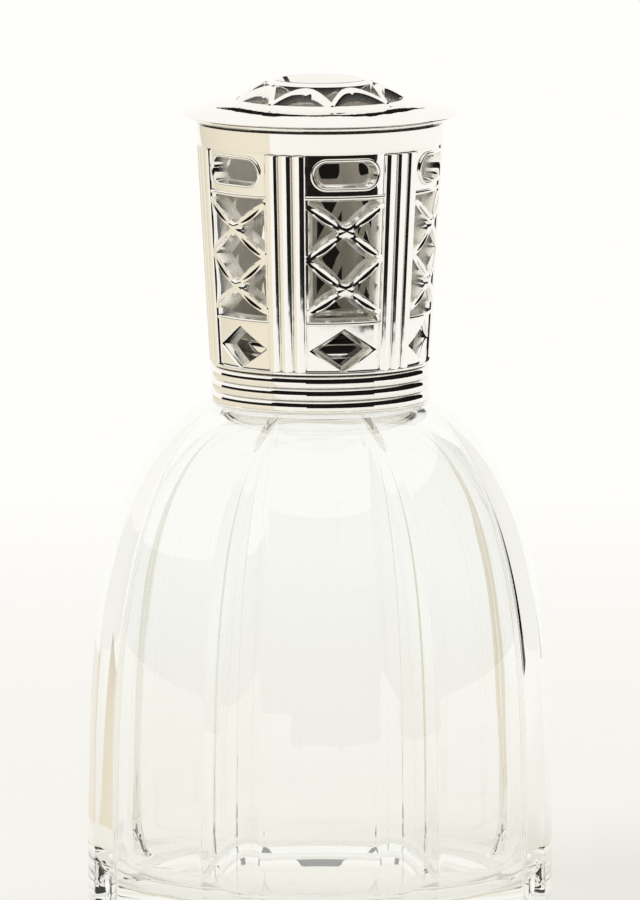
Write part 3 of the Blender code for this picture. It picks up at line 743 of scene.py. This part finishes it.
# %% [markdown]
# ## Collar and bond
# A metal collar is bonded to the glass neck. Its flange carries the cap and its lip carries the
# burner. It shows through the cap's diamonds, so it gets rounded edges and a fine turned groove.

# %% Collar and bond
collar_low, collar_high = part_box("neck_collar")
bond_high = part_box("collar_bond")[1]
COLLAR_RADIUS = 15.0 * MM
COLLAR_INNER = bond_high.x + FIT
FLANGE_THICKNESS = 1.4 * MM
EDGE = 0.3 * MM
GROOVE = 0.25 * MM
BOND_FILM = 0.02 * MM


def rounded(corners, radius, steps=3):
    """Round the corners of a closed outline. A corner is (r, z) or (r, z, True) to stay sharp."""
    points = []
    count = len(corners)
    for k, corner in enumerate(corners):
        here = Vector(corner[:2])
        back = (Vector(corners[k - 1][:2]) - here)
        ahead = (Vector(corners[(k + 1) % count][:2]) - here)
        if len(corner) == 3:
            points.append(tuple(here))
            continue
        reach = min(radius, back.length * 0.45, ahead.length * 0.45)
        a, b = here + back.normalized() * reach, here + ahead.normalized() * reach
        for t in spread(0.0, 1.0, steps):
            p = a * (1 - t) ** 2 + here * 2 * t * (1 - t) + b * t * t
            points.append(tuple(p))
    return points


flange_top = collar_low.z + FLANGE_THICKNESS
lip_foot = NECK_TOP + FIT
groove_z = collar_high.z - 2.2 * MM
collar = turned("neck_collar_dressed", rounded([
    (NECK_BORE, collar_high.z), (COLLAR_RADIUS, collar_high.z),
    (COLLAR_RADIUS, groove_z + GROOVE), (COLLAR_RADIUS - GROOVE, groove_z),
    (COLLAR_RADIUS, groove_z - GROOVE), (COLLAR_RADIUS, flange_top),
    (collar_high.x, flange_top), (collar_high.x, collar_low.z), (COLLAR_INNER, collar_low.z),
    (COLLAR_INNER, lip_foot), (NECK_BORE, lip_foot)], EDGE), silver)
hand_over(collar, "bottle", "silver_plate", "neck_collar")

bond_inner = NECK_RADIUS + FIT
squeeze_out = collar_high.x - FIT
squeeze_top = collar_low.z - BOND_FILM
squeeze_foot = LAND_Z + BOND_FILM
bond = turned("collar_bond_dressed", rounded([
    (bond_inner, bond_high.z), (bond_high.x, bond_high.z), (bond_high.x, squeeze_top),
    (squeeze_out, squeeze_top), (squeeze_out, squeeze_foot), (bond_inner, squeeze_foot)],
    0.1 * MM), bond_plaster)
hand_over(bond, "bottle", "bonding_compound", "collar_bond")

# %% [markdown]
# ## Burner
# The burner is a spun metal cup with vents, a flange on a rubber gasket, a porous stone and a tube for
# the wick. It is seen only through the cap, so plain turned shapes with rounded edges are enough. The
# vented basket is one sector with one vent, repeated.

# %% Burner
holder_low, holder_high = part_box("burner_holder")
gasket_low, gasket_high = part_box("burner_gasket")
stone_low, stone_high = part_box("burner_stone")
ferrule_low, ferrule_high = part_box("wick_ferrule")
HOLDER_RADIUS = NECK_BORE - FIT
HOLDER_WALL = 1.0 * MM
FLANGE_FOOT = gasket_high.z + FIT
FLANGE_TOP = FLANGE_FOOT + 1.0 * MM
CUP_RADIUS = HOLDER_RADIUS - HOLDER_WALL
FERRULE_BORE = 3.8 * MM
FERRULE_RADIUS = 4.8 * MM
FLOOR_HOLE = FERRULE_RADIUS + FIT
VENTS = 8
VENT_HALF = 1.5 * MM
VENT_RAIL = 0.6 * MM
WELL_RADIUS, WELL_DEPTH = 2.6 * MM, 5.0 * MM

cup = turned("burner_cup", rounded([
    (HOLDER_RADIUS, FLANGE_TOP + VENT_RAIL, True), (HOLDER_RADIUS, FLANGE_TOP), (holder_high.x, FLANGE_TOP),
    (holder_high.x, FLANGE_FOOT), (HOLDER_RADIUS, FLANGE_FOOT), (HOLDER_RADIUS, holder_low.z),
    (FLOOR_HOLE, holder_low.z), (FLOOR_HOLE, holder_low.z + HOLDER_WALL),
    (CUP_RADIUS, holder_low.z + HOLDER_WALL), (CUP_RADIUS, FLANGE_TOP + VENT_RAIL, True)], EDGE),
    satin_metal, slices=96)
rim = turned("burner_rim", rounded([
    (HOLDER_RADIUS, holder_high.z), (HOLDER_RADIUS, holder_high.z - VENT_RAIL, True),
    (CUP_RADIUS, holder_high.z - VENT_RAIL, True), (CUP_RADIUS, holder_high.z)], EDGE), satin_metal,
    slices=96)
bm = bmesh.new()
vent_half_angle = VENT_HALF / HOLDER_RADIUS
post = [vent_half_angle, math.tau / VENTS - vent_half_angle]
low, high = FLANGE_TOP + VENT_RAIL, holder_high.z - VENT_RAIL
skin(bm, [[polar(r, a, z) for a in spread(*post, 8)]
          for r, z in ((HOLDER_RADIUS, low), (HOLDER_RADIUS, high), (CUP_RADIUS, high), (CUP_RADIUS, low))],
     loop=True)
bmesh.ops.holes_fill(bm, edges=[e for e in bm.edges if e.is_boundary], sides=0)
posts = repeat_round("burner_posts", bm, VENTS, satin_metal)
holder = join_pieces("vented_burner_holder", satin_metal, [cup, rim, posts])
hand_over(holder, "burner", "burner_metal", "burner_holder")

rim_foot = ferrule_high.z - 1.0 * MM
ferrule = turned("wick_ferrule_dressed", rounded([
    (FERRULE_BORE, ferrule_high.z), (ferrule_high.x, ferrule_high.z), (ferrule_high.x, rim_foot),
    (FERRULE_RADIUS, rim_foot), (FERRULE_RADIUS, ferrule_low.z), (FERRULE_BORE, ferrule_low.z)],
    0.2 * MM), satin_metal, slices=72)
hand_over(ferrule, "burner", "burner_metal", "wick_ferrule")

gasket_inner = HOLDER_RADIUS + FIT
gasket = turned("burner_gasket_dressed", rounded([
    (gasket_inner, gasket_high.z), (gasket_high.x, gasket_high.z), (gasket_high.x, gasket_low.z),
    (gasket_inner, gasket_low.z)], 0.35 * MM), gasket_rubber, slices=96)
hand_over(gasket, "burner", "gasket_rubber", "burner_gasket")

axis_gap = 0.02 * MM
stone = turned("porous_stone", rounded([
    (axis_gap, stone_high.z - WELL_DEPTH, True), (WELL_RADIUS, stone_high.z - WELL_DEPTH),
    (WELL_RADIUS, stone_high.z), (stone_high.x, stone_high.z), (stone_high.x, stone_low.z),
    (axis_gap, stone_low.z, True)], 1.2 * MM, steps=5), porous_stone, slices=96)
hand_over(stone, "burner", "catalytic_stone", "burner_stone")

# %% [markdown]
# ## Snuffer
# The snuffer is a plain drawn sleeve with a closed top that shuts the burner off from the air. It is
# polished, so through the cap one sees the cap's own openings mirrored in it. It is turned in one
# outline, with a thicker foot that stands on the burner's flange.

# %% Snuffer
snuffer_low, snuffer_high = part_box("snuffer_cap")
SNUFFER_FOOT_WIDTH = 0.7 * MM
SNUFFER_FOOT_HEIGHT = 1.8 * MM
SNUFFER_RADIUS = snuffer_high.x - SNUFFER_FOOT_WIDTH
SNUFFER_BORE = HOLDER_RADIUS + FIT
SNUFFER_TOP = 1.0 * MM
SNUFFER_ROUND = 1.0 * MM
foot_top = snuffer_low.z + SNUFFER_FOOT_HEIGHT
snuffer = turned("polished_snuffer", rounded([
    (axis_gap, snuffer_high.z, True), (SNUFFER_RADIUS, snuffer_high.z),
    (SNUFFER_RADIUS, foot_top + SNUFFER_FOOT_WIDTH), (snuffer_high.x, foot_top),
    (snuffer_high.x, snuffer_low.z),
    (SNUFFER_BORE, snuffer_low.z), (SNUFFER_BORE, snuffer_high.z - SNUFFER_TOP),
    (axis_gap, snuffer_high.z - SNUFFER_TOP, True)], SNUFFER_ROUND, steps=5), silver)
hand_over(snuffer, "snuffer", "silver_plate", "snuffer_cap")

# %% [markdown]
# ## Cap band
# The foot of the cap is a ring with three round beads. A bead is half a circle in outline, so it
# mirrors everything from the sky to the table in a few millimetres: the source of the thin black and
# white lines round the neck.

# %% Cap band
band_low, band_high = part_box("cap_band")
BEADS = 3
BEAD_DEPTH = 0.65 * MM
SKIRT_RADIUS = collar_high.x + FIT
BAND_BORE = COLLAR_RADIUS + FIT
BAND_STEP = band_low.z + FLANGE_THICKNESS + FIT
bead_pitch = (band_high.z - band_low.z) / BEADS
bead_line = []
for k in range(BEADS):
    top = band_high.z - k * bead_pitch
    for t in spread(0.0, math.pi, 14)[:-1]:
        bead_line.append((band_high.x - BEAD_DEPTH * (1 - math.sin(t) ** 0.7),
                          top - bead_pitch / 2 * (1 - math.cos(t))))
band = turned("beaded_cap_band", bead_line + rounded([
    (band_high.x - BEAD_DEPTH, band_low.z, True), (SKIRT_RADIUS, band_low.z), (SKIRT_RADIUS, BAND_STEP),
    (BAND_BORE, BAND_STEP), (BAND_BORE, band_high.z)], 0.2 * MM), silver, slices=160)
hand_over(band, "cap", "silver_plate", "cap_band", crease=50.0)

# %% [markdown]
# ## Cap wall
# The wall is a slightly widening sleeve of six panels between reeded pilasters. Each panel has, from
# the top, a slot with a raised rim, two crosses of leaf-shaped arms, and a diamond with bevelled
# sides. The cells below draw these on a flat sheet, as distances across and up, and a mapping bends
# the sheet round the cone. Openings narrow towards the inside, as cast openwork does.

# %% Wall mapping and sizes
wall_low, wall_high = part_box("cap_wall")
WALL_TAPER = math.radians(3.3)
WALL_THICKNESS = 3.0 * MM
PANELS = 6
PANEL_HALF = math.radians(19.7)
PANEL_TURN = math.radians(12.85)
REEDS = 3
REED_DEPTH = 0.75 * MM
REED_POWER = 2.4
REED_END_ROUND = 0.25 * MM
REED_END_ZONE = 1.3 * MM
DRAFT = math.tan(math.radians(12.0))
PANEL_TOP = wall_high.z - 3.65 * MM
BACK = REED_DEPTH - WALL_THICKNESS
STILE = 0.45 * MM
STILE_SINK, STILE_TUCK, STILE_FLAT = 0.12 * MM, 0.02 * MM, 0.10 * MM


def wall_radius(z):
    return wall_high.x - (wall_high.z - z) * math.tan(WALL_TAPER)


def face_radius(z):
    return wall_radius(z) - REED_DEPTH


def on_wall(u, z, out):
    """Bend a point of the flat sheet round the cone: across, up, and out from the panel's face."""
    return polar(face_radius(z) + out, PANEL_TURN + u / face_radius(z), z)


def half_width(z):
    return face_radius(z) * PANEL_HALF


print("wall radius in mm, foot and top:",
      [round(wall_radius(z) / MM, 2) for z in (wall_low.z, wall_high.z)])

# %% Pilasters
def reed_relief(x, z):
    """Height of the reeds over the panel's face, x from 0 to 3 across them. Their top edge is rounded."""
    across = 2 * (x - min(int(x), REEDS - 1)) - 1
    over = max(0.0, (z - (PANEL_TOP - REED_END_ROUND)) / REED_END_ROUND)
    return REED_DEPTH * max(0.0, 1 - abs(across) ** REED_POWER - over * over) ** (1 / REED_POWER)


def crowd_ends(steps):
    """Values from 0 to 1, closer together at both ends."""
    return [(1 - math.cos(math.pi * t)) / 2 for t in spread(0.0, 1.0, steps)]


def add_pilaster(bm):
    reed_x = sorted({k + t for k in range(REEDS) for t in crowd_ends(12)})
    reed_span = (math.tau / PANELS - 2 * PANEL_HALF)
    zone_foot = PANEL_TOP - REED_END_ZONE
    levels = spread(wall_low.z + 0.2 * MM, zone_foot, 8)
    levels += [zone_foot + REED_END_ZONE * math.sin(math.pi / 2 * t) for t in spread(0.0, 1.0, 8)[1:]]
    lines = []
    for z in levels:
        r = face_radius(z)
        start = PANEL_TURN + PANEL_HALF
        stile = STILE / r
        flare = STILE / r + DRAFT * -BACK / r
        line = [polar(r + BACK, start - flare, z),
                polar(r - STILE_SINK, start - stile - STILE_TUCK / r, z),
                polar(r, start - stile + STILE_FLAT / r, z)]
        line += [polar(r + reed_relief(x, z), start + reed_span * x / REEDS, z) for x in reed_x]
        line += [polar(r, start + reed_span + stile - STILE_FLAT / r, z),
                 polar(r - STILE_SINK, start + reed_span + stile + STILE_TUCK / r, z),
                 polar(r + BACK, start + reed_span + flare, z)]
        lines.append(line)
    capped_skin(bm, lines)


print("reeds per pilaster:", REEDS)

# %% Slot pane
UPPER_RAIL_FOOT = 127.6 * MM
UPPER_RAIL_TOP = 128.35 * MM
SLOT_MID = 131.95 * MM
SLOT_HALF_HEIGHT = 2.2 * MM
SLOT_HALF_WIDTH = 5.55 * MM
RIM_WIDTH = 0.65 * MM
RIM_HEIGHT = 0.40 * MM
NO_LENGTH = 1e-9


def obround(grow, count=18):
    """A slot's outline, grown outwards."""
    run = SLOT_HALF_WIDTH - SLOT_HALF_HEIGHT
    r = SLOT_HALF_HEIGHT + grow
    right = arc((run, SLOT_MID), r, -math.pi / 2, math.pi / 2, count)
    left = arc((-run, SLOT_MID), r, math.pi / 2, 1.5 * math.pi, count)
    top = [(u, SLOT_MID + r) for u in spread(run, -run, 8)[1:-1]]
    foot = [(u, SLOT_MID - r) for u in spread(-run, run, 8)[1:-1]]
    return right + top + left + foot


def to_frame(outline, centre_z, half_u, low_z, high_z):
    """Push an outline's points outwards, seen from its centre, to a rectangle."""
    points = []
    for u, z in outline:
        dz = z - centre_z
        limit = (high_z - centre_z) if dz > 0 else (centre_z - low_z)
        scale = min(half_u / max(abs(u), NO_LENGTH), limit / max(abs(dz), NO_LENGTH))
        points.append((u * scale, centre_z + dz * scale))
    return points


def blend_lines(a, b, t):
    return [(p[0] + (q[0] - p[0]) * t, p[1] + (q[1] - p[1]) * t) for p, q in zip(a, b)]


def add_slot_pane(bm):
    low, high = UPPER_RAIL_FOOT + 0.3 * MM, PANEL_TOP + 0.5 * MM
    edge = to_frame(obround(RIM_WIDTH), SLOT_MID, half_width(SLOT_MID) + 0.4 * MM, low, high)
    rim_foot = obround(RIM_WIDTH)
    loops = [(edge, BACK), (edge, 0.0)] + [(blend_lines(edge, rim_foot, t), 0.0) for t in (0.35, 0.7, 1.0)]
    for a in spread(0.0, math.pi, 8):
        grow = RIM_WIDTH / 2 * (1 + math.cos(a))
        loops.append((obround(grow), RIM_HEIGHT * math.sin(a) ** 0.8 if 0 < a < math.pi else 0.0))
    for t in spread(0.0, 1.0, 4)[1:]:
        loops.append((obround(DRAFT * BACK * t * 0.9), BACK * t))
    skin(bm, [[on_wall(u, z, out) for u, z in loop] for loop, out in loops], ring=True, loop=True)


print("slot in mm:", round(2 * SLOT_HALF_WIDTH / MM, 2), round(2 * SLOT_HALF_HEIGHT / MM, 2))

# %% Diamond pane
LOWER_RAIL_FOOT = 105.9 * MM
LOWER_RAIL_TOP = 106.65 * MM
DIAMOND_LOW, DIAMOND_HIGH = 97.75 * MM, 105.45 * MM
DIAMOND_BEVEL = 0.25 * MM
DIAMOND_MARGIN = 0.35 * MM
DIAMOND_DRAFT = 0.75 * MM
DIAMOND_ASPECT = 1.55


def diamond(shrink, count=14):
    mid = (DIAMOND_LOW + DIAMOND_HIGH) / 2
    half_u = half_width(mid) - DIAMOND_MARGIN - shrink * DIAMOND_ASPECT
    half_z = (DIAMOND_HIGH - DIAMOND_LOW) / 2 - shrink
    corners = [(half_u, mid), (0.0, mid + half_z), (-half_u, mid), (0.0, mid - half_z)]
    points = []
    for a, b in zip(corners, corners[1:] + corners[:1]):
        for t in spread(0.0, 1.0, count)[:-1]:
            points.append((a[0] + (b[0] - a[0]) * t, a[1] + (b[1] - a[1]) * t))
    return points


def add_diamond_pane(bm):
    mid = (DIAMOND_LOW + DIAMOND_HIGH) / 2
    front = diamond(0.0)
    edge = to_frame(front, mid, half_width(mid) + 0.5 * MM, wall_low.z + 0.1 * MM, LOWER_RAIL_TOP)
    loops = [(edge, BACK), (edge, 0.0)]
    loops += [(blend_lines(edge, front, t), 0.0) for t in (0.2, 0.4, 0.6, 0.8, 1.0)]
    loops += [(diamond(DIAMOND_BEVEL), -DIAMOND_BEVEL)]
    loops += [(diamond(DIAMOND_BEVEL + DIAMOND_DRAFT * t), -DIAMOND_BEVEL + (BACK + DIAMOND_BEVEL) * t)
              for t in (0.33, 0.67, 1.0)]
    skin(bm, [[on_wall(u, z, out) for u, z in loop] for loop, out in loops], ring=True, loop=True)


print("diamond height in mm:", round((DIAMOND_HIGH - DIAMOND_LOW) / MM, 2))

# %% Rails
RAIL_SINK = -0.05 * MM


def add_rail(bm, foot, top, stand, flare_up, flare_down):
    """A raised strip across the panel. Its back is taller by the draft of the openings it borders."""
    mid = (foot + top) / 2
    section = [(foot - flare_down, BACK), (foot, RAIL_SINK)]
    section += [(mid - (top - foot) / 2 * math.cos(a), stand * math.sin(a))
                for a in spread(0.0, math.pi, 8)[1:-1]]
    section += [(top, RAIL_SINK), (top + flare_up, BACK)]
    lines = []
    for t in spread(-1.0, 1.0, 16):
        lines.append([on_wall(t * (half_width(z) + 0.3 * MM), z, out) for z, out in section])
    capped_skin(bm, lines)


print("rail heights in mm:", round((UPPER_RAIL_TOP - UPPER_RAIL_FOOT) / MM, 2))

# %% Crosses
CROSS_CENTRES = (122.1 * MM, 112.1 * MM)
CROSS_NODES = (126.65 * MM, 117.35 * MM, 108.05 * MM)
ARM_HALF = 0.80 * MM
ARM_TIP_HALF = 0.40 * MM
ARM_CREST = 0.40 * MM
HOLLOW_DEPTH = 0.13 * MM
HOLLOW_SPAN = (0.16, 0.84)
BOSS_RADIUS = 1.75 * MM
BOSS_CREST = 0.52 * MM
BOSS_LIFT = 0.12
BOSS_STRETCH = (1.15, 0.85)
BOSS_SINK = 0.55
BOSS_LOBES = 0.25
NODE_RADIUS = 0.80 * MM
ARM_EDGE = ((1.0, 0.26), (0.97, 0.13), (0.91, 0.04), (0.84, 0.0))


def arm_section(half, hollow):
    """One cut across an arm, from its lower to its upper side: round edges and an eye-shaped hollow."""
    side = [(x * half, ARM_CREST - drop * MM) for x, drop in ARM_EDGE]
    reach = half * (0.05 + 0.67 * hollow ** 0.7)
    for x in (1.0, 0.75, 0.5, 0.25, 0.08):
        side.append((reach * x, ARM_CREST - HOLLOW_DEPTH * hollow * (1 - x ** 1.4)))
    back = half - DRAFT * BACK
    lower = [(-x, out) for x, out in side]
    bottom = (0.0, ARM_CREST - HOLLOW_DEPTH * hollow)
    return [(-back, BACK)] + lower + [bottom] + side[::-1] + [(back, BACK)]


def add_arm(bm, start, end):
    """A leaf from the panel's edge to a crossing, with drafted sides behind."""
    along = Vector(end) - Vector(start)
    side = Vector((-along.y, along.x)).normalized()
    if side.y < 0:
        side.negate()
    lines = []
    for t in spread(0.0, 1.0, 24):
        swell = math.sin(math.pi * t) ** 0.75 if 0 < t < 1 else 0.0
        half = ARM_TIP_HALF + (ARM_HALF - ARM_TIP_HALF) * swell
        eye = min(max((t - HOLLOW_SPAN[0]) / (HOLLOW_SPAN[1] - HOLLOW_SPAN[0]), 0.0), 1.0)
        section = arm_section(half, max(math.sin(math.pi * eye), 0.0))
        base = Vector(start) + along * t
        lines.append([on_wall(base.x + side.x * s, base.y + side.y * s, out) for s, out in section])
    capped_skin(bm, lines)


def add_boss(bm, u, z, radius, crest, lobes):
    """A mound where arms meet, drawn out towards them. Its top sits above its middle."""
    rings = [(1.35, BACK), (1.06, -0.1 * MM)]
    rings += [(s, crest * (1 - s ** 3.5)) for s in (1.0, 0.97, 0.92, 0.85, 0.75, 0.6, 0.4, 0.2)]
    lines = []
    for s, out in rings:
        lift = radius * BOSS_LIFT * (1 - min(s, 1.0))
        ring = []
        for a in spread(0.0, math.tau, 32)[:-1]:
            r = radius * s * (1 - lobes * math.cos(4 * a))
            ring.append(on_wall(u + BOSS_STRETCH[0] * r * math.cos(a),
                                z + lift + BOSS_STRETCH[1] * r * math.sin(a), out))
        lines.append(ring)
    rows = skin(bm, lines, ring=True)
    tip = bm.verts.new(on_wall(u, z + radius * BOSS_LIFT, crest))
    for i in range(len(rows[-1])):
        bm.faces.new((rows[-1][i], rows[-1][(i + 1) % len(rows[-1])], tip))
    bm.faces.new(rows[0])


def add_crosses(bm):
    for k, centre in enumerate(CROSS_CENTRES):
        for node in CROSS_NODES[k:k + 2]:
            for side in (-1, 1):
                start = Vector((side * (half_width(node) - 0.1 * MM), node))
                middle = Vector((0.0, centre))
                add_arm(bm, start, middle + (start - middle).normalized() * BOSS_SINK * BOSS_RADIUS)
        add_boss(bm, 0.0, centre, BOSS_RADIUS, BOSS_CREST, BOSS_LOBES)
    node = CROSS_NODES[1]
    for side in (-1, 1):
        add_boss(bm, side * (half_width(node) - 0.1 * MM), node, NODE_RADIUS, ARM_CREST, 0.0)


print("cross centres in mm:", [round(z / MM, 2) for z in CROSS_CENTRES])

# %% Cap wall assembly
bm = bmesh.new()
add_pilaster(bm)
add_slot_pane(bm)
add_diamond_pane(bm)
add_rail(bm, UPPER_RAIL_FOOT, UPPER_RAIL_TOP, 0.35 * MM, 0.0, 0.45 * MM)
add_rail(bm, LOWER_RAIL_FOOT, LOWER_RAIL_TOP, 0.30 * MM, 0.45 * MM, 0.0)
add_crosses(bm)
panels = repeat_round("wall_panels", bm, PANELS, silver)
EAVES_ROUND = 0.15 * MM
EAVES_LEAN = 0.48 * MM
POLISHED_UNSHADED_TO, CAST_SHADED_FROM = 0.9 * MM, 2.4 * MM
eaves = wall_high.x - EAVES_LEAN
throat = bezier((wall_high.x, wall_high.z), (wall_high.x - 0.18 * MM, wall_high.z - 1.2 * MM),
                (eaves + 0.16 * MM, PANEL_TOP + 1.2 * MM), (eaves, PANEL_TOP + EAVES_ROUND), 10)
top_ring = turned("wall_top_ring", throat + [
    (eaves - 0.3 * EAVES_ROUND, PANEL_TOP + 0.3 * EAVES_ROUND), (eaves - EAVES_ROUND, PANEL_TOP),
    (face_radius(PANEL_TOP) + BACK, PANEL_TOP), (wall_high.x - WALL_THICKNESS, wall_high.z)],
    silver, slices=160)
SILL_TOP = wall_low.z + 0.55 * MM
foot_ring = turned("wall_foot_ring", rounded([
    (wall_radius(SILL_TOP), SILL_TOP), (wall_radius(wall_low.z), wall_low.z),
    (wall_radius(wall_low.z) - WALL_THICKNESS, wall_low.z),
    (wall_radius(SILL_TOP) - WALL_THICKNESS, SILL_TOP)], 0.15 * MM), silver, slices=160)
wall = join_pieces("openwork_cap_wall", silver, [panels, top_ring, foot_ring])
# The recess depth makes the openings' sides and backs matt and paints shade on them.
mark_recess(wall, lambda r, z: face_radius(z) - r, POLISHED_UNSHADED_TO, CAST_SHADED_FROM)
hand_over(wall, "cap", "silver_plate", "cap_wall", crease=38.0)

# %% [markdown]
# ## Cap lid
# The lid has a thin brim that sweeps up in a hollow curve to a low dome. The dome is openwork: one
# wavy rib runs round it between two rings, so arches open under its crowns and small wedges open
# between them. The rings are turned, and one wave of the rib is a sector.

# %% Lid sizes and outline
lid_low, lid_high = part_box("cap_lid")
LID_SEAT = wall_high.z + FIT
BRIM_RADIUS = lid_high.x
BRIM_EDGE = 0.25 * MM
BRIM_Z = LID_SEAT + 1.0 * MM + BRIM_EDGE
DOME_RADIUS = 15.25 * MM
HOLE_RADIUS = 7.45 * MM
DOME_FOOT = LID_SEAT + 3.0 * MM
DOME_TOP = lid_high.z
DOME_BULGE = 0.4 * MM
DOME_THICKNESS = 1.4 * MM
LOWER_RING_INNER = 14.2 * MM
UPPER_RING_OUTER = 9.05 * MM
LIP_DEPTH = 1.6 * MM
LIP_LEAN = 1.15 * MM
SPIGOT_INNER = 16.9 * MM
SPIGOT_OUTER = 18.0 * MM
SEAT_BEVEL = 0.3 * MM
RING_BEAD = 0.12 * MM
TOP_BEAD = 0.15 * MM


def dome_z(r):
    t = (DOME_RADIUS - r) / (DOME_RADIUS - HOLE_RADIUS)
    return DOME_FOOT + (DOME_TOP - DOME_FOOT - 0.25 * MM) * t + 4 * DOME_BULGE * t * (1 - t)


reach = BRIM_RADIUS - DOME_RADIUS
rise = DOME_FOOT - BRIM_Z
EDGE_OUTLINE = ((0.12, -0.25), (0.04, -0.235), (0.008, -0.20), (0.0, -0.17), (0.012, -0.13),
                (0.06, -0.06), (0.16, 0.03), (0.33, 0.13), (0.58, 0.25))
edge = [(BRIM_RADIUS - inset * MM, BRIM_Z + up * MM) for inset, up in EDGE_OUTLINE]
flare = bezier(edge[-1], (BRIM_RADIUS - reach * 0.32, BRIM_Z + rise * 0.62),
               (BRIM_RADIUS - reach * 0.70, BRIM_Z + rise * 0.95), (DOME_RADIUS, DOME_FOOT), 24)
ring_bead = []
for t in spread(0.0, 1.0, 8):
    r = DOME_RADIUS + (LOWER_RING_INNER - DOME_RADIUS) * t
    ring_bead.append((r, dome_z(r) + RING_BEAD * math.sin(math.pi * t)))
cove = bezier((wall_high.x, LID_SEAT + SEAT_BEVEL), (wall_high.x + 0.25 * MM, LID_SEAT + 0.85 * MM),
              (BRIM_RADIUS - 1.2 * MM, BRIM_Z - BRIM_EDGE - 0.05 * MM), edge[0], 10)
brim = turned("lid_brim", [
    (SPIGOT_INNER, LID_SEAT + 0.2 * MM), (SPIGOT_INNER, lid_low.z), (SPIGOT_OUTER, lid_low.z),
    (SPIGOT_OUTER, LID_SEAT), (wall_high.x - SEAT_BEVEL, LID_SEAT),
    *cove, *edge[1:], *flare[1:], *ring_bead[1:],
    (LOWER_RING_INNER, dome_z(LOWER_RING_INNER) - DOME_THICKNESS),
    (DOME_RADIUS, DOME_FOOT - DOME_THICKNESS)], silver, slices=160)

# %% Lid top ring and wave
top_bead = []
for t in spread(0.0, 1.0, 10):
    r = UPPER_RING_OUTER + (HOLE_RADIUS - UPPER_RING_OUTER) * t
    bead = math.sin(math.pi * t) ** 0.7 if 0 < t < 1 else 0.0
    top_bead.append((r, dome_z(r) + TOP_BEAD * bead))
hole_foot = dome_z(HOLE_RADIUS) - LIP_DEPTH
hole_ring = turned("lid_hole_ring", top_bead + [
    (HOLE_RADIUS - LIP_LEAN, hole_foot), (HOLE_RADIUS, hole_foot),
    (UPPER_RING_OUTER, dome_z(UPPER_RING_OUTER) - DOME_THICKNESS)], silver, slices=120)

WAVES = 8
WAVE_TURN = math.radians(30.9)
WAVE_FOOT, WAVE_CROWN = 14.3 * MM, 10.2 * MM
RIB_HALF = 0.48 * MM
CROWN_SWELL = 0.47 * MM
RIB_CREST = 0.28 * MM


def wave_point(t):
    """Middle of the rib at t from -1 to 1 across one arch, as a flat point on the dome's plan."""
    crown = math.cos(math.pi / 2 * abs(t) ** 1.15) ** 0.8 if abs(t) < 1 else 0.0
    r = WAVE_FOOT + (WAVE_CROWN - WAVE_FOOT) * crown
    angle = WAVE_TURN + t * math.pi / WAVES
    return Vector((r * math.sin(angle), -r * math.cos(angle)))


bm = bmesh.new()
lines = []
for t in spread(-1.0, 1.0, 40):
    here = wave_point(t)
    along = (wave_point(min(t + 0.02, 1.0)) - wave_point(max(t - 0.02, -1.0))).normalized()
    side = Vector((-along.y, along.x))
    line = []
    crest = [(s, RIB_CREST * (1 - abs(s) ** 2.2)) for s in spread(-1.0, 1.0, 10)]
    for s, out in [(-1.15, -DOME_THICKNESS)] + crest + [(1.15, -DOME_THICKNESS)]:
        flat = here + side * s * (RIB_HALF + CROWN_SWELL * (1 - abs(t)) ** 2)
        line.append(Vector((flat.x, flat.y, dome_z(flat.length) + out)))
    lines.append(line)
capped_skin(bm, lines)
rib = repeat_round("lid_wave_rib", bm, WAVES, silver)
lid = join_pieces("openwork_cap_lid", silver, [brim, hole_ring, rib])


LIP_MATT_SHADE = 0.5 * MM
OPENING_MATT_SHADE = 0.5 * MM


def below_lid(r, z):
    """Depth below the polished surface, which the plate turns into a matt finish and painted shade. The
    hole's lip is matt with painted shade, and the brim is polished all round.
    """
    if r < HOLE_RADIUS + 0.1 * MM:
        return LIP_MATT_SHADE if z < dome_z(HOLE_RADIUS) - 0.2 * MM else 0.0
    if r > SPIGOT_OUTER + 0.2 * MM:
        return 0.0
    if r < DOME_RADIUS:
        return min(dome_z(r) - z, OPENING_MATT_SHADE)
    return BRIM_Z - z


mark_recess(lid, below_lid, 0.25 * MM, 1.2 * MM)
hand_over(lid, "cap", "silver_plate", "cap_lid", crease=45.0)
